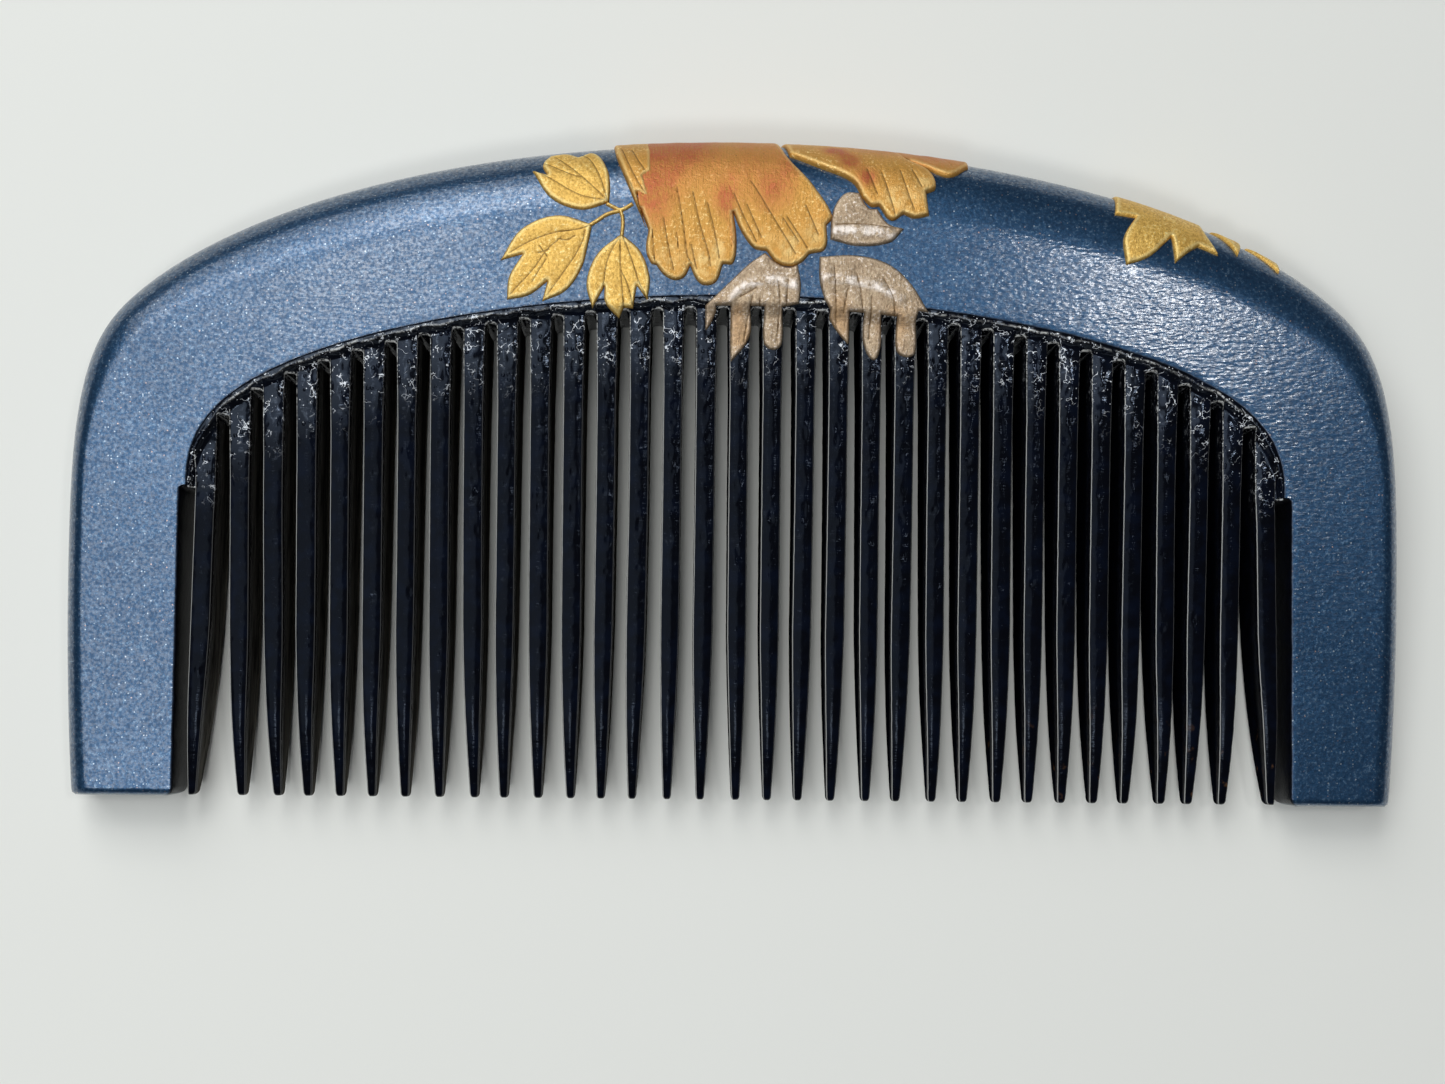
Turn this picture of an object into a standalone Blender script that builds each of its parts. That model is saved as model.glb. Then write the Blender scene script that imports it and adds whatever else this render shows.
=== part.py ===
"""Decorative hair comb: a one-board lacquered wooden comb with raised leaf and petal ornament.

The comb lies on its flat back, decorated face up. X runs along its length, Y from the tips of the
teeth to the crown, Z out of the decorated face. All lengths are metres.

Two curves drive the shape. The outer curve is the ridge line round the crown and the guards. The
inner curve is the arch where the blue lacquer stops and the black field of the teeth begins. Ribs
run inwards from the ridge to the arch, and every piece of the frame and of the ornament is laid
out on those ribs.
"""
import math

import bmesh
import bpy
from mathutils import Vector
from mathutils.geometry import interpolate_bezier

# Teeth and the slots between them
TEETH = 33
TOOTH_PITCH = 0.002445
TOOTH_ROOT_WIDTH = 0.0016
TOOTH_MID_WIDTH = 0.00143
TOOTH_TIP_WIDTH = 0.0006
TOOTH_TIP_DEPTH = 0.0013
ROOT_FLARE = 0.006        # length over which a root narrows to the middle width
WIDTH_TAPER = 0.013       # length over which the width runs down to the tip
WIDTH_TAPER_POWER = 1.5
DEPTH_TAPER = 0.008       # length over which the depth runs down to the tip
DEPTH_TAPER_POWER = 2
EDGE_CHAMFER = 0.00028    # on the four long edges of a tooth
END_SLOT = 0.00100        # between a guard and its nearest tooth
SLOT_STEP = 0.00055       # how far the end slot is cut into the guard
END_TOOTH_LEAN = 0.0007   # the first and last teeth lean outwards by this much at their tips
WEB_DEPTH = 0.0007        # black field left between the arch and the middle of a slot's top
WEB_MIN = 0.0004          # the least left above a slot's corner where the arch is steep

# Board
HEIGHT = 0.0491
GUARD_WIDTH = 0.0088
GUARD_SPLAY = 0.0004      # the guards' inner faces spread by this much towards their feet
CROWN_BAND = 0.0121       # blue lacquer above the arch, at the middle
SPRING_DROP = 0.0259      # from the crown down to where the arch meets the guards
END_SLOT_DROP = 0.0006    # from there down to the top of an end slot
FOOT_THICKNESS = 0.0046
CROWN_THICKNESS = 0.0094
FIELD_RECESS = 0.0005     # the black field lies this far below the blue, on both faces
CROWN_ROUND = 0.0060      # width of the rounding towards the ridge, at the crown
GUARD_ROUND = 0.0018      # the same along the guards
FOOT_CHAMFER = 0.0006

# Knots of the outer curve, right half. A span's pulls say how far it keeps the slope of its
# start and of its end, as shares of the straight distance between the two knots.
SHOULDER_IN = 0.0040      # from the widest point inwards
SHOULDER_DROP = 0.0124    # from the crown down
BELLY_HEIGHT = 0.0145
FOOT_TUCK = 0.0005
SHOULDER_SLOPE = math.radians(44.8)
FOOT_SLOPE = math.radians(95.0)
CROWN_PULLS = (0.45, 0.21)
SHOULDER_PULLS = (0.22, 0.60)
BELLY_PULLS = (0.38, 0.17)

# Knots of the inner curve, right half
HAUNCH_IN = 0.0064
HAUNCH_DROP = 0.0057
HAUNCH_SLOPE = math.radians(26.0)
ARCH_PULLS = (0.403, 0.22)
HAUNCH_PULLS = (0.333, 0.428)
LEVEL = 0.0
DOWN = math.radians(90.0)

# Ornament
SEAT_GAP = 0.0001         # between pieces that rest on each other
LEAF_RISE = 0.00045       # above the blue lacquer, gap included
PETAL_RISE = 0.00055
STEM_RISE = 0.00035
RIDGE_RISE = 0.00025      # every raised piece is rubbed down to this where it crosses the ridge
RISE_RUN = 0.005          # distance from the ridge line over which it gains its full rise
STEM_WIDTH = 0.00042

CURVE_STEPS = 40          # samples of each curve span
CROWN_RIBS = 30           # ribs from the middle of the crown to the end of the arch
GUARD_SPANS = 5           # rib spans down a guard
OUTLINE_STEP = 0.0007     # length of an outline's facets, about
CUT_ACROSS = 0.0011       # spacing of the cuts that let a raised piece follow the rounding
CUT_ALONG = 0.0020
EDGE_CLEAR = 0.00025      # past the arch before a raised piece steps down from the blue
STEP_RUN = 0.0004         # length over which it steps down to the black field
LOBE_POINT = 0.9          # length in millimetres over which a lobe narrows to its point
ARCH_EVERY = 4            # curve samples per facet of the web's arch
TAPER_STATIONS = (1.0, 0.76, 0.54, 0.34, 0.18, 0.07, 0.0)   # shares of the width taper
STEP_FALL = 0.0002        # height over which the end slot's step runs out
ROUND_STEPS = 12          # steps round the ridge from the front to the back
ROUND_SAMPLES = 24        # straight pieces that the rounding is measured in
SEARCH_STEPS = 16         # repeats when a place on the surface is searched for
OUTLINE_HANDLE = 1 / 3    # length of an outline's curve handles, as a share of the chord
FEWEST_FACETS = 2         # between two corners of an outline
MOST_FACETS = 5
OUTLINE_UNIT = 0.001      # the ornament's outlines are drawn in millimetres
MERGE = 1e-6              # distance below which a cut uses a corner that is already there

GUARD_INNER = (TEETH - 1) / 2 * TOOTH_PITCH + TOOTH_ROOT_WIDTH / 2 + END_SLOT
HALF_LENGTH = GUARD_INNER + GUARD_WIDTH
SPRING_X = GUARD_INNER - SLOT_STEP
ARCH_TOP = HEIGHT - CROWN_BAND
SPRING_HEIGHT = HEIGHT - SPRING_DROP
END_SLOT_TOP = SPRING_HEIGHT - END_SLOT_DROP


def thickness(y):
    """Thickness of the wedge-shaped board at a height above the tips."""
    return FOOT_THICKNESS + (CROWN_THICKNESS - FOOT_THICKNESS) * y / HEIGHT


def span(start, end, slopes, pulls):
    """One curve span that leaves and arrives falling at the given slopes."""
    start, end = Vector(start), Vector(end)
    chord = (end - start).length
    leave, arrive = (Vector((math.cos(slope), -math.sin(slope))) for slope in slopes)
    return interpolate_bezier(start, start + leave * chord * pulls[0],
                              end - arrive * chord * pulls[1], end, CURVE_STEPS + 1)


def outer_curve():
    """Ridge line of the right half, from the middle of the crown to the foot."""
    crown = (0.0, HEIGHT)
    shoulder = (HALF_LENGTH - SHOULDER_IN, HEIGHT - SHOULDER_DROP)
    belly = (HALF_LENGTH, BELLY_HEIGHT)
    foot = (HALF_LENGTH - FOOT_TUCK, 0.0)
    points = span(crown, shoulder, (LEVEL, SHOULDER_SLOPE), CROWN_PULLS)
    points += span(shoulder, belly, (SHOULDER_SLOPE, DOWN), SHOULDER_PULLS)[1:]
    points += span(belly, foot, (DOWN, FOOT_SLOPE), BELLY_PULLS)[1:]
    return points


def inner_curve():
    """Arch between the blue and the black lacquer, right half, down to the end slot."""
    crown = (0.0, ARCH_TOP)
    haunch = (SPRING_X - HAUNCH_IN, ARCH_TOP - HAUNCH_DROP)
    spring = (SPRING_X, SPRING_HEIGHT)
    points = span(crown, haunch, (LEVEL, HAUNCH_SLOPE), ARCH_PULLS)
    points += span(haunch, spring, (HAUNCH_SLOPE, DOWN), HAUNCH_PULLS)[1:]
    return points


def foot_inner(y):
    """Inner face of a guard below its end slot, which spreads towards the foot."""
    return GUARD_INNER + GUARD_SPLAY * (1.0 - y / END_SLOT_TOP)


def crossing(start, direction, curve):
    """First point where a ray from the arch meets the ridge line."""
    for a, b in zip(curve, curve[1:]):
        along = b - a
        turn = direction.x * along.y - direction.y * along.x
        if abs(turn) < 1e-12:
            continue
        gap = a - start
        reach = (gap.x * along.y - gap.y * along.x) / turn
        share = (gap.x * direction.y - gap.y * direction.x) / turn
        if reach > 0.0 and -1e-6 <= share <= 1.0 + 1e-6:
            return a + along * share
    raise ValueError("a rib misses the ridge line")


def arch_ribs(outer, inner):
    """Ribs square to the arch, from the middle to the end of the arch."""
    ribs = [(outer[0], inner[0])]
    for before, here, after in zip(inner, inner[1:], inner[2:]):
        along = (after - before).normalized()
        ribs.append((crossing(here, Vector((-along.y, along.x)), outer), here))
    return ribs


def guard_ribs(outer):
    """Level ribs down a guard, with the step of the end slot at the top."""
    step_top = END_SLOT_TOP + STEP_FALL
    ribs = [(step_top, SPRING_X)]
    for i in range(GUARD_SPANS):
        y = END_SLOT_TOP + (FOOT_CHAMFER - END_SLOT_TOP) * i / (GUARD_SPANS - 1)
        ribs.append((y, foot_inner(y)))
    ribs.append((0.0, foot_inner(0.0)))
    level = Vector((1.0, 0.0))
    return [(crossing(Vector((x, y)), level, outer) if y > 0.0 else outer[-1].copy(),
             Vector((x, y))) for y, x in ribs]


OUTER = outer_curve()
INNER = inner_curve()
ARCH_RIBS = arch_ribs(OUTER, INNER)
GUARD_RIBS = guard_ribs(OUTER)


def arch_height(x):
    """Height of the arch at a distance from the middle."""
    x = abs(x)
    for a, b in zip(INNER, INNER[1:]):
        if a.x <= x <= b.x:
            return a.y + (b.y - a.y) * (x - a.x) / (b.x - a.x)
    return SPRING_HEIGHT


def round_width(y):
    """Width of the rounding towards the ridge, wide on the crown and narrow on the guards."""
    share = min(max((y - SPRING_HEIGHT) / (HEIGHT - SPRING_HEIGHT), 0.0), 1.0)
    share = share * share * (3.0 - 2.0 * share)
    return GUARD_ROUND + (CROWN_ROUND - GUARD_ROUND) * share


def rib_section(ridge, arch, trim=0.0):
    """Closed outline of the board over one rib, front arch edge first, then round to the back.

    trim pulls the outline in on all sides, for the chamfer at the feet.
    """
    inward = (arch - ridge).normalized()
    width = (arch - ridge).length
    rounding = round_width(ridge.y)
    stops = [(width - trim, 0.0)]
    for i in range(ROUND_STEPS + 1):
        turn = math.pi * i / ROUND_STEPS
        stops.append((max(rounding * (1.0 - math.sin(turn)), trim), turn))
    stops.append((width - trim, math.pi))
    section = []
    for depth, turn in stops:
        place = ridge + inward * depth
        half = thickness(place.y) / 2
        z = half + (half - trim) * math.cos(turn)
        section.append(Vector((place.x, place.y, z)))
    return section


# Ridge distance of every rib, for laying the ornament out on the crown
def ridge_table():
    """Ribs of the arch with their distance along the ridge line from the middle."""
    table = []
    total = 0.0
    last = ARCH_RIBS[0][0]
    for ridge, arch in ARCH_RIBS:
        total += (ridge - last).length
        last = ridge
        table.append((total, ridge, arch))
    return table


RIDGE_TABLE = ridge_table()
SHOULDER_AT = sum((b - a).length for a, b in zip(OUTER[:CURVE_STEPS], OUTER[1:]))


def rib_at(s):
    """Ridge point and inward direction of the rib that is s metres right of the middle."""
    side = -1.0 if s < 0.0 else 1.0
    s = abs(s)
    for (s0, ridge0, arch0), (s1, ridge1, arch1) in zip(RIDGE_TABLE, RIDGE_TABLE[1:]):
        if s <= s1:
            break
    share = (s - s0) / (s1 - s0)
    ridge = ridge0.lerp(ridge1, share)
    inward = (arch0.lerp(arch1, share) - ridge).normalized()
    return Vector((side * ridge.x, ridge.y)), Vector((side * inward.x, inward.y))


def round_length(rounding, half, turn):
    """Length of the rounding's surface from the ridge line to a turn, front positive."""
    total = 0.0
    last = (0.0, 0.0)
    for i in range(1, ROUND_SAMPLES + 1):
        angle = turn * i / ROUND_SAMPLES
        here = (rounding * (1.0 - math.cos(angle)), half * math.sin(angle))
        total += math.dist(last, here)
        last = here
    return total


# Where a raised piece steps down to the black field, as a q past the arch's edge
STEP_START = (round_length(CROWN_ROUND, thickness(HEIGHT) / 2, math.pi / 2)
              + CROWN_BAND - CROWN_ROUND + EDGE_CLEAR)
STEP_END = STEP_START + STEP_RUN


def board_point(s, q, lift):
    """Point over the board's surface.

    s runs along the ridge line from the middle, q over the surface from the ridge line, towards
    the arch on the front and negative on the back, and lift is the height above the surface.
    """
    ridge, inward = rib_at(s)
    rounding = round_width(ridge.y)
    half = thickness(ridge.y) / 2
    quarter = round_length(rounding, half, math.pi / 2)
    if abs(q) > quarter:
        turn = math.pi / 2
        depth = rounding + abs(q) - quarter
    else:
        low, high = 0.0, math.pi / 2
        for _ in range(SEARCH_STEPS):
            turn = (low + high) / 2
            low, high = (turn, high) if round_length(rounding, half, turn) < abs(q) else (low, turn)
        depth = rounding * (1.0 - math.cos(turn))
    turn = math.copysign(turn, q)
    place = ridge + inward * depth
    half = thickness(place.y) / 2
    out = Vector((-inward.x * half * math.cos(turn), -inward.y * half * math.cos(turn),
                  rounding * math.sin(turn)))
    point = Vector((place.x, place.y, half * (1.0 + math.sin(turn))))
    return point + out.normalized() * lift


# Mesh helpers

def finish(name, bm, color, roughness, metallic, parent, collection, smooth=35.0):
    """Turn a bmesh into a named object with its own material."""
    bmesh.ops.recalc_face_normals(bm, faces=bm.faces)
    if bm.calc_volume(signed=True) < 0.0:
        bmesh.ops.reverse_faces(bm, faces=bm.faces)
    mesh = bpy.data.meshes.new(name)
    bm.to_mesh(mesh)
    bm.free()
    mesh.shade_smooth()
    mesh.set_sharp_from_angle(angle=math.radians(smooth))
    material = bpy.data.materials.new(name)
    material.use_nodes = True
    shader = material.node_tree.nodes["Principled BSDF"]
    shader.inputs["Base Color"].default_value = (*color, 1.0)
    shader.inputs["Roughness"].default_value = roughness
    shader.inputs["Metallic"].default_value = metallic
    material.diffuse_color = (*color, 1.0)
    mesh.materials.append(material)
    piece = bpy.data.objects.new(name, mesh)
    collection.objects.link(piece)
    piece.parent = parent
    return piece


def loft(bm, sections, cap_first=True):
    """Skin closed sections of equal count, with a cap on the last and, if asked, on the first."""
    rings = [[bm.verts.new(point) for point in section] for section in sections]
    for near, far in zip(rings, rings[1:]):
        for i in range(len(near)):
            j = (i + 1) % len(near)
            bm.faces.new((near[i], near[j], far[j], far[i]))
    bm.faces.new(rings[-1])
    if cap_first:
        bm.faces.new(rings[0])
    return rings


def build_frame(parent, collection):
    """Crown and both guards in one piece: half a loft over the ribs, mirrored at the middle."""
    step = max(len(ARCH_RIBS) // CROWN_RIBS, 1)
    ribs = ARCH_RIBS[::step]
    sections = [rib_section(ridge, arch) for ridge, arch in ribs + GUARD_RIBS[:-1]]
    ridge, arch = GUARD_RIBS[-1]
    sections.append(rib_section(ridge, arch, FOOT_CHAMFER))
    bm = bmesh.new()
    loft(bm, sections, cap_first=False)
    frame = finish("blue_frame", bm, (0.055, 0.115, 0.24), 0.42, 0.15, parent, collection)
    mirror = frame.modifiers.new("both_halves", "MIRROR")
    mirror.use_axis = (True, False, False)
    mirror.use_clip = True
    mirror.merge_threshold = 0.00001
    return frame


# Slots and teeth

def tooth_middle(i):
    """Distance of a tooth's root from the middle of the comb."""
    return (i - (TEETH - 1) / 2) * TOOTH_PITCH


def slot_top(i):
    """Top of the slot on the left of tooth i; the last one lies right of the last tooth."""
    if i in (0, TEETH):
        return END_SLOT_TOP
    middle = (tooth_middle(i - 1) + tooth_middle(i)) / 2
    corner = abs(middle) + (TOOTH_PITCH - TOOTH_ROOT_WIDTH) / 2
    return min(arch_height(middle) - WEB_DEPTH, arch_height(corner) - WEB_MIN)


def seat_height(i):
    """Level seat of tooth i in the black web, flush with the lower of its two slots."""
    return min(slot_top(i), slot_top(i + 1))


def web_outline():
    """Front outline of the black web: the arch above, slots and level tooth seats below."""
    half = [point.copy() for point in INNER[::ARCH_EVERY]]
    arch = []
    for i, point in enumerate(half):
        if i == 0:
            down = Vector((0.0, -1.0))
        else:
            along = (point - half[i - 1]).normalized()
            down = Vector((along.y, -along.x))
        arch.append(point + down * SEAT_GAP)
    side = SPRING_X - SEAT_GAP
    arch[-1].x = side
    outline = [Vector((-p.x, p.y)) for p in reversed(arch)] + arch[1:]
    outline.append(Vector((side, END_SLOT_TOP)))
    for i in reversed(range(TEETH)):
        right = tooth_middle(i) + TOOTH_ROOT_WIDTH / 2
        left = tooth_middle(i) - TOOTH_ROOT_WIDTH / 2
        if i < TEETH - 1:
            outline.append(Vector((right, slot_top(i + 1))))
        if slot_top(i + 1) > seat_height(i):
            outline.append(Vector((right, seat_height(i))))
        if slot_top(i) > seat_height(i):
            outline.append(Vector((left, seat_height(i))))
        if i > 0:
            outline.append(Vector((left, slot_top(i))))
    outline.append(Vector((-side, END_SLOT_TOP)))
    return outline


def build_web(parent, collection):
    """Black web under the arch, a plate cut by the slots, sunk below the blue on both faces."""
    bm = bmesh.new()
    floor = [bm.verts.new((p.x, p.y, 0.0)) for p in web_outline()]
    plate = bm.faces.new(floor)
    grown = bmesh.ops.extrude_face_region(bm, geom=[plate])
    top = [v for v in grown["geom"] if isinstance(v, bmesh.types.BMVert)]
    for vert in top:
        vert.co.z = thickness(vert.co.y) - FIELD_RECESS
    for vert in floor:
        vert.co.z = FIELD_RECESS
    return finish("black_web", bm, (0.008, 0.008, 0.011), 0.25, 0.0, parent, collection)


def tooth_section(i, y):
    """Eight-sided section of tooth i at a height above the tips."""
    seat = seat_height(i)
    flare = min(max((y - (seat - ROOT_FLARE)) / ROOT_FLARE, 0.0), 1.0)
    body = TOOTH_MID_WIDTH + (TOOTH_ROOT_WIDTH - TOOTH_MID_WIDTH) * flare
    slim = (1.0 - min(y / WIDTH_TAPER, 1.0)) ** WIDTH_TAPER_POWER
    width = body + (TOOTH_TIP_WIDTH - body) * slim
    back, front = FIELD_RECESS, thickness(y) - FIELD_RECESS
    middle = (back + front) / 2
    thin = (1.0 - min(y / DEPTH_TAPER, 1.0)) ** DEPTH_TAPER_POWER
    depth = (front - back) * (1.0 - thin) + TOOTH_TIP_DEPTH * thin
    aside = (TOOTH_ROOT_WIDTH - width) / 2 + END_TOOTH_LEAN * max(1.0 - y / END_SLOT_TOP, 0.0)
    x = tooth_middle(i)
    if i == 0:
        x -= aside
    if i == TEETH - 1:
        x += aside
    cut = min(EDGE_CHAMFER, width / 4, depth / 4)
    w, d = width / 2, depth / 2
    corners = [(w, d - cut), (w - cut, d), (cut - w, d), (-w, d - cut),
               (-w, cut - d), (cut - w, -d), (w - cut, -d), (w, cut - d)]
    return [Vector((x + dx, y, middle + dz)) for dx, dz in corners]


def build_tooth(i, parent, collection):
    """One tooth, from its level seat in the web to its small blunt tip."""
    seat = seat_height(i)
    heights = [seat, seat - ROOT_FLARE]
    heights += [WIDTH_TAPER * share for share in TAPER_STATIONS]
    bm = bmesh.new()
    loft(bm, [tooth_section(i, y) for y in heights])
    return finish(f"tooth_{i + 1:02d}", bm, (0.008, 0.008, 0.011), 0.22, 0.0, parent, collection)


# Ornament outlines, drawn flat in millimetres: s along the ridge line from the middle, q over the
# surface from the ridge line towards the arch. A tip is a sharp corner and a bend a smooth one.
# What reaches past the ridge line has q below zero.

def tip(s, q):
    """Sharp corner of an outline."""
    return "tip", Vector((s, q)) * OUTLINE_UNIT


def bend(s, q):
    """Smooth corner of an outline."""
    return "bend", Vector((s, q)) * OUTLINE_UNIT


GOLD_LEAVES = {
    "gold_leaf_upper": [
        tip(-10.1, 7.4), bend(-12.3, 7.75), bend(-14.5, 6.6), tip(-15.7, 4.1), tip(-14.6, 4.7),
        bend(-14.9, 3.6), tip(-14.3, 2.5), bend(-13.1, 2.5), tip(-12.2, 3.1), bend(-11.1, 2.7),
        bend(-10.1, 4.6), bend(-9.95, 6.2)],
    "gold_leaf_left": [
        tip(-11.5, 8.9), bend(-14.2, 8.0), bend(-17.0, 8.7), tip(-18.9, 10.7), tip(-17.1, 10.5),
        bend(-18.4, 12.0), tip(-18.8, 13.6), bend(-17.0, 13.5), tip(-15.4, 12.7),
        tip(-16.0, 14.1), bend(-14.0, 13.5), bend(-12.6, 12.0), bend(-11.9, 10.2)],
    "gold_leaf_lower": [
        tip(-9.3, 9.75), bend(-11.3, 11.1), bend(-12.3, 13.1), tip(-12.0, 15.0),
        tip(-10.9, 13.5), bend(-10.9, 14.7), tip(-9.9, 15.8), tip(-9.45, 15.1),
        tip(-8.7, 15.2), tip(-8.3, 13.6), tip(-7.5, 14.7), bend(-7.25, 13.0),
        bend(-7.9, 11.1)],
}

# Measured along the ridge line from the right shoulder, so that they stay on it
SHOULDER_LEAVES = {
    "shoulder_leaf_main": [
        tip(-19.9, -2.6), tip(-19.8, 4.1), tip(-18.2, 3.75), bend(-18.8, 6.0), tip(-18.1, 7.9),
        bend(-16.5, 6.7), tip(-15.2, 4.5), tip(-14.4, 6.5), bend(-13.6, 5.2), tip(-13.0, 4.4),
        tip(-11.3, 4.4), bend(-12.4, 3.1), tip(-12.9, 2.0), tip(-13.1, -2.6)],
    "shoulder_leaf_tip": [
        tip(-12.0, -2.4), tip(-11.8, 2.1), tip(-10.2, 3.7), tip(-9.9, 2.2), tip(-10.0, -2.4)],
    "shoulder_leaf_edge": [
        tip(-9.4, -2.4), tip(-9.2, 2.0), tip(-7.1, 3.4), tip(-6.8, 2.0), tip(-6.9, -2.4)],
}

STEMS = {
    "stem_upper": [(-9.9, 7.65), (-9.3, 7.95), (-8.6, 7.75)],
    "stem_left": [(-11.25, 8.8), (-10.5, 8.45), (-9.8, 8.35)],
    "stem_lower": [(-9.3, 8.35), (-9.2, 8.9), (-9.25, 9.55)],
}

PETALS = {
    "petal_narrow": [
        tip(-9.6, -3.0), bend(-9.4, 3.0), bend(-8.6, 6.2), tip(-7.4, 9.4), tip(-7.95, 6.9),
        tip(-6.95, 7.5), tip(-7.5, 5.6), tip(-6.95, 5.3), bend(-7.0, 3.2), tip(-7.1, -3.0)],
    "petal_left": [
        tip(-6.9, -3.4), bend(-6.8, 3.2), tip(-6.75, 5.3), tip(-7.25, 5.75), tip(-6.7, 7.8),
        tip(-7.65, 7.25), tip(-7.2, 9.6), bend(-7.45, 11.0), bend(-7.1, 12.0), tip(-6.4, 12.2),
        bend(-5.3, 13.3), tip(-4.35, 12.4), bend(-3.9, 13.2), bend(-3.0, 13.7),
        bend(-1.8, 13.0), tip(-1.4, 12.0), bend(-0.6, 12.0), bend(-0.5, 10.4), tip(-0.9, 8.4),
        bend(-0.95, 6.8), bend(-1.4, 3.1), tip(-1.5, -3.4)],
    "petal_right": [
        tip(-1.3, -3.4), bend(-1.25, 3.1), bend(-0.75, 6.9), bend(0.0, 9.5), bend(1.0, 11.1),
        tip(2.0, 11.25), bend(2.8, 12.0), bend(3.9, 12.25), bend(4.8, 11.9), tip(5.4, 11.25),
        bend(6.6, 10.8), tip(6.6, 9.1), bend(7.0, 8.4), bend(5.5, 6.3), bend(3.3, 3.4),
        tip(2.2, -3.4)],
    "petal_far": [
        tip(2.4, -3.4), tip(3.6, 3.4), bend(5.6, 4.4), bend(8.3, 5.6), tip(9.2, 6.9),
        bend(9.9, 7.45), tip(10.5, 7.35), bend(11.5, 8.3), tip(12.45, 7.75), bend(13.3, 7.95),
        tip(14.4, 7.6), tip(14.0, 5.9), bend(14.7, 5.3), bend(14.1, 3.9), bend(12.2, 2.4),
        tip(11.0, -3.4)],
    "petal_edge": [
        tip(11.3, -3.2), bend(12.35, 2.1), bend(13.8, 3.2), bend(15.7, 4.0), tip(17.1, 2.4),
        tip(17.2, -3.2)],
}

# Silver leaves: the body lies on the blue, and each lobe runs down the front of one tooth.
# A lobe is the tooth's number, how far it reaches, its left and its right half width.
SILVER_LEAVES = {
    "silver_leaf_left": (
        [bend(4.85, 13.6), tip(4.75, 14.9), tip(3.9, 15.1)],
        [(18, 18.3, 0.70, 0.70), (17, 18.6, 0.72, 0.72), (16, 17.2, -0.15, 0.72)],
        [bend(-0.9, 13.5), bend(0.7, 12.3), tip(1.85, 11.75), bend(2.7, 12.35),
         bend(3.8, 12.6), tip(4.5, 12.3)]),
    "silver_leaf_right": (
        [bend(9.2, 11.1), bend(11.7, 11.5), bend(13.6, 12.7), tip(15.3, 14.6),
         tip(14.5, 14.6)],
        [(22, 17.8, 0.65, 0.72), (21, 18.3, 0.72, 0.72), (20, 17.2, 0.72, 0.72)],
        [tip(6.8, 14.5), bend(6.3, 13.1), tip(6.2, 11.4)]),
}

SILVER_BACK = [
    tip(7.4, 8.9), bend(7.5, 7.7), tip(8.7, 6.7), tip(9.05, 7.05), bend(9.7, 7.75),
    tip(10.4, 7.7), bend(11.3, 8.55), tip(12.6, 8.8), bend(11.6, 9.9), bend(9.1, 10.4),
    tip(6.95, 10.1)]


def over_tooth(number, aside, q):
    """Point of an outline over the front of a tooth, aside millimetres right of its middle."""
    x = tooth_middle(number - 1) + aside * OUTLINE_UNIT
    s = x
    for _ in range(SEARCH_STEPS):
        s += x - board_point(s, q * OUTLINE_UNIT, 0.0).x
    return Vector((s, q * OUTLINE_UNIT))


def lobe(number, reach, left, right):
    """Finger of a silver leaf down the front of one tooth, from its right side to its left."""
    root = STEP_END / OUTLINE_UNIT
    middle = (right - left) / 2
    return [("tip", over_tooth(number, right, root)),
            ("bend", over_tooth(number, right, reach - LOBE_POINT)),
            ("tip", over_tooth(number, middle, reach)),
            ("bend", over_tooth(number, -left, reach - LOBE_POINT)),
            ("tip", over_tooth(number, -left, root))]


def smooth_outline(corners):
    """Closed outline through the corners, curved at its bends and sharp at its tips."""
    count = len(corners)
    path = []
    for i, (kind, here) in enumerate(corners):
        next_kind, there = corners[(i + 1) % count]
        before = corners[i - 1][1]
        beyond = corners[(i + 2) % count][1]
        chord = (there - here).length
        leave = (there - before).normalized() if kind == "bend" else (there - here).normalized()
        arrive = (beyond - here).normalized() if next_kind == "bend" else (there - here).normalized()
        handle = chord * OUTLINE_HANDLE
        facets = max(FEWEST_FACETS, min(MOST_FACETS, round(chord / OUTLINE_STEP)))
        path += interpolate_bezier(here, here + leave * handle, there - arrive * handle,
                                   there, facets + 1)[:-1]
    return path


def ribbon_outline(route, width):
    """Closed outline of a narrow stem along a route in millimetres."""
    points = [Vector(p) * OUTLINE_UNIT for p in route]
    right, left = [], []
    for i, point in enumerate(points):
        along = (points[min(i + 1, len(points) - 1)] - points[max(i - 1, 0)]).normalized()
        side = Vector((-along.y, along.x)) * width / 2
        right.append(point + side)
        left.append(point - side)
    return right + left[::-1]


def rise_at(q, rise):
    """Height of a raised piece above the blue, low where it wraps over the ridge line."""
    share = min(max(q / RISE_RUN, 0.0), 1.0)
    return RIDGE_RISE + (rise - RIDGE_RISE) * share * share * (3.0 - 2.0 * share)


def step_down(q):
    """How far a raised piece has stepped down from the blue to the black field."""
    share = min(max((q - STEP_START) / STEP_RUN, 0.0), 1.0)
    return FIELD_RECESS * share


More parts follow.
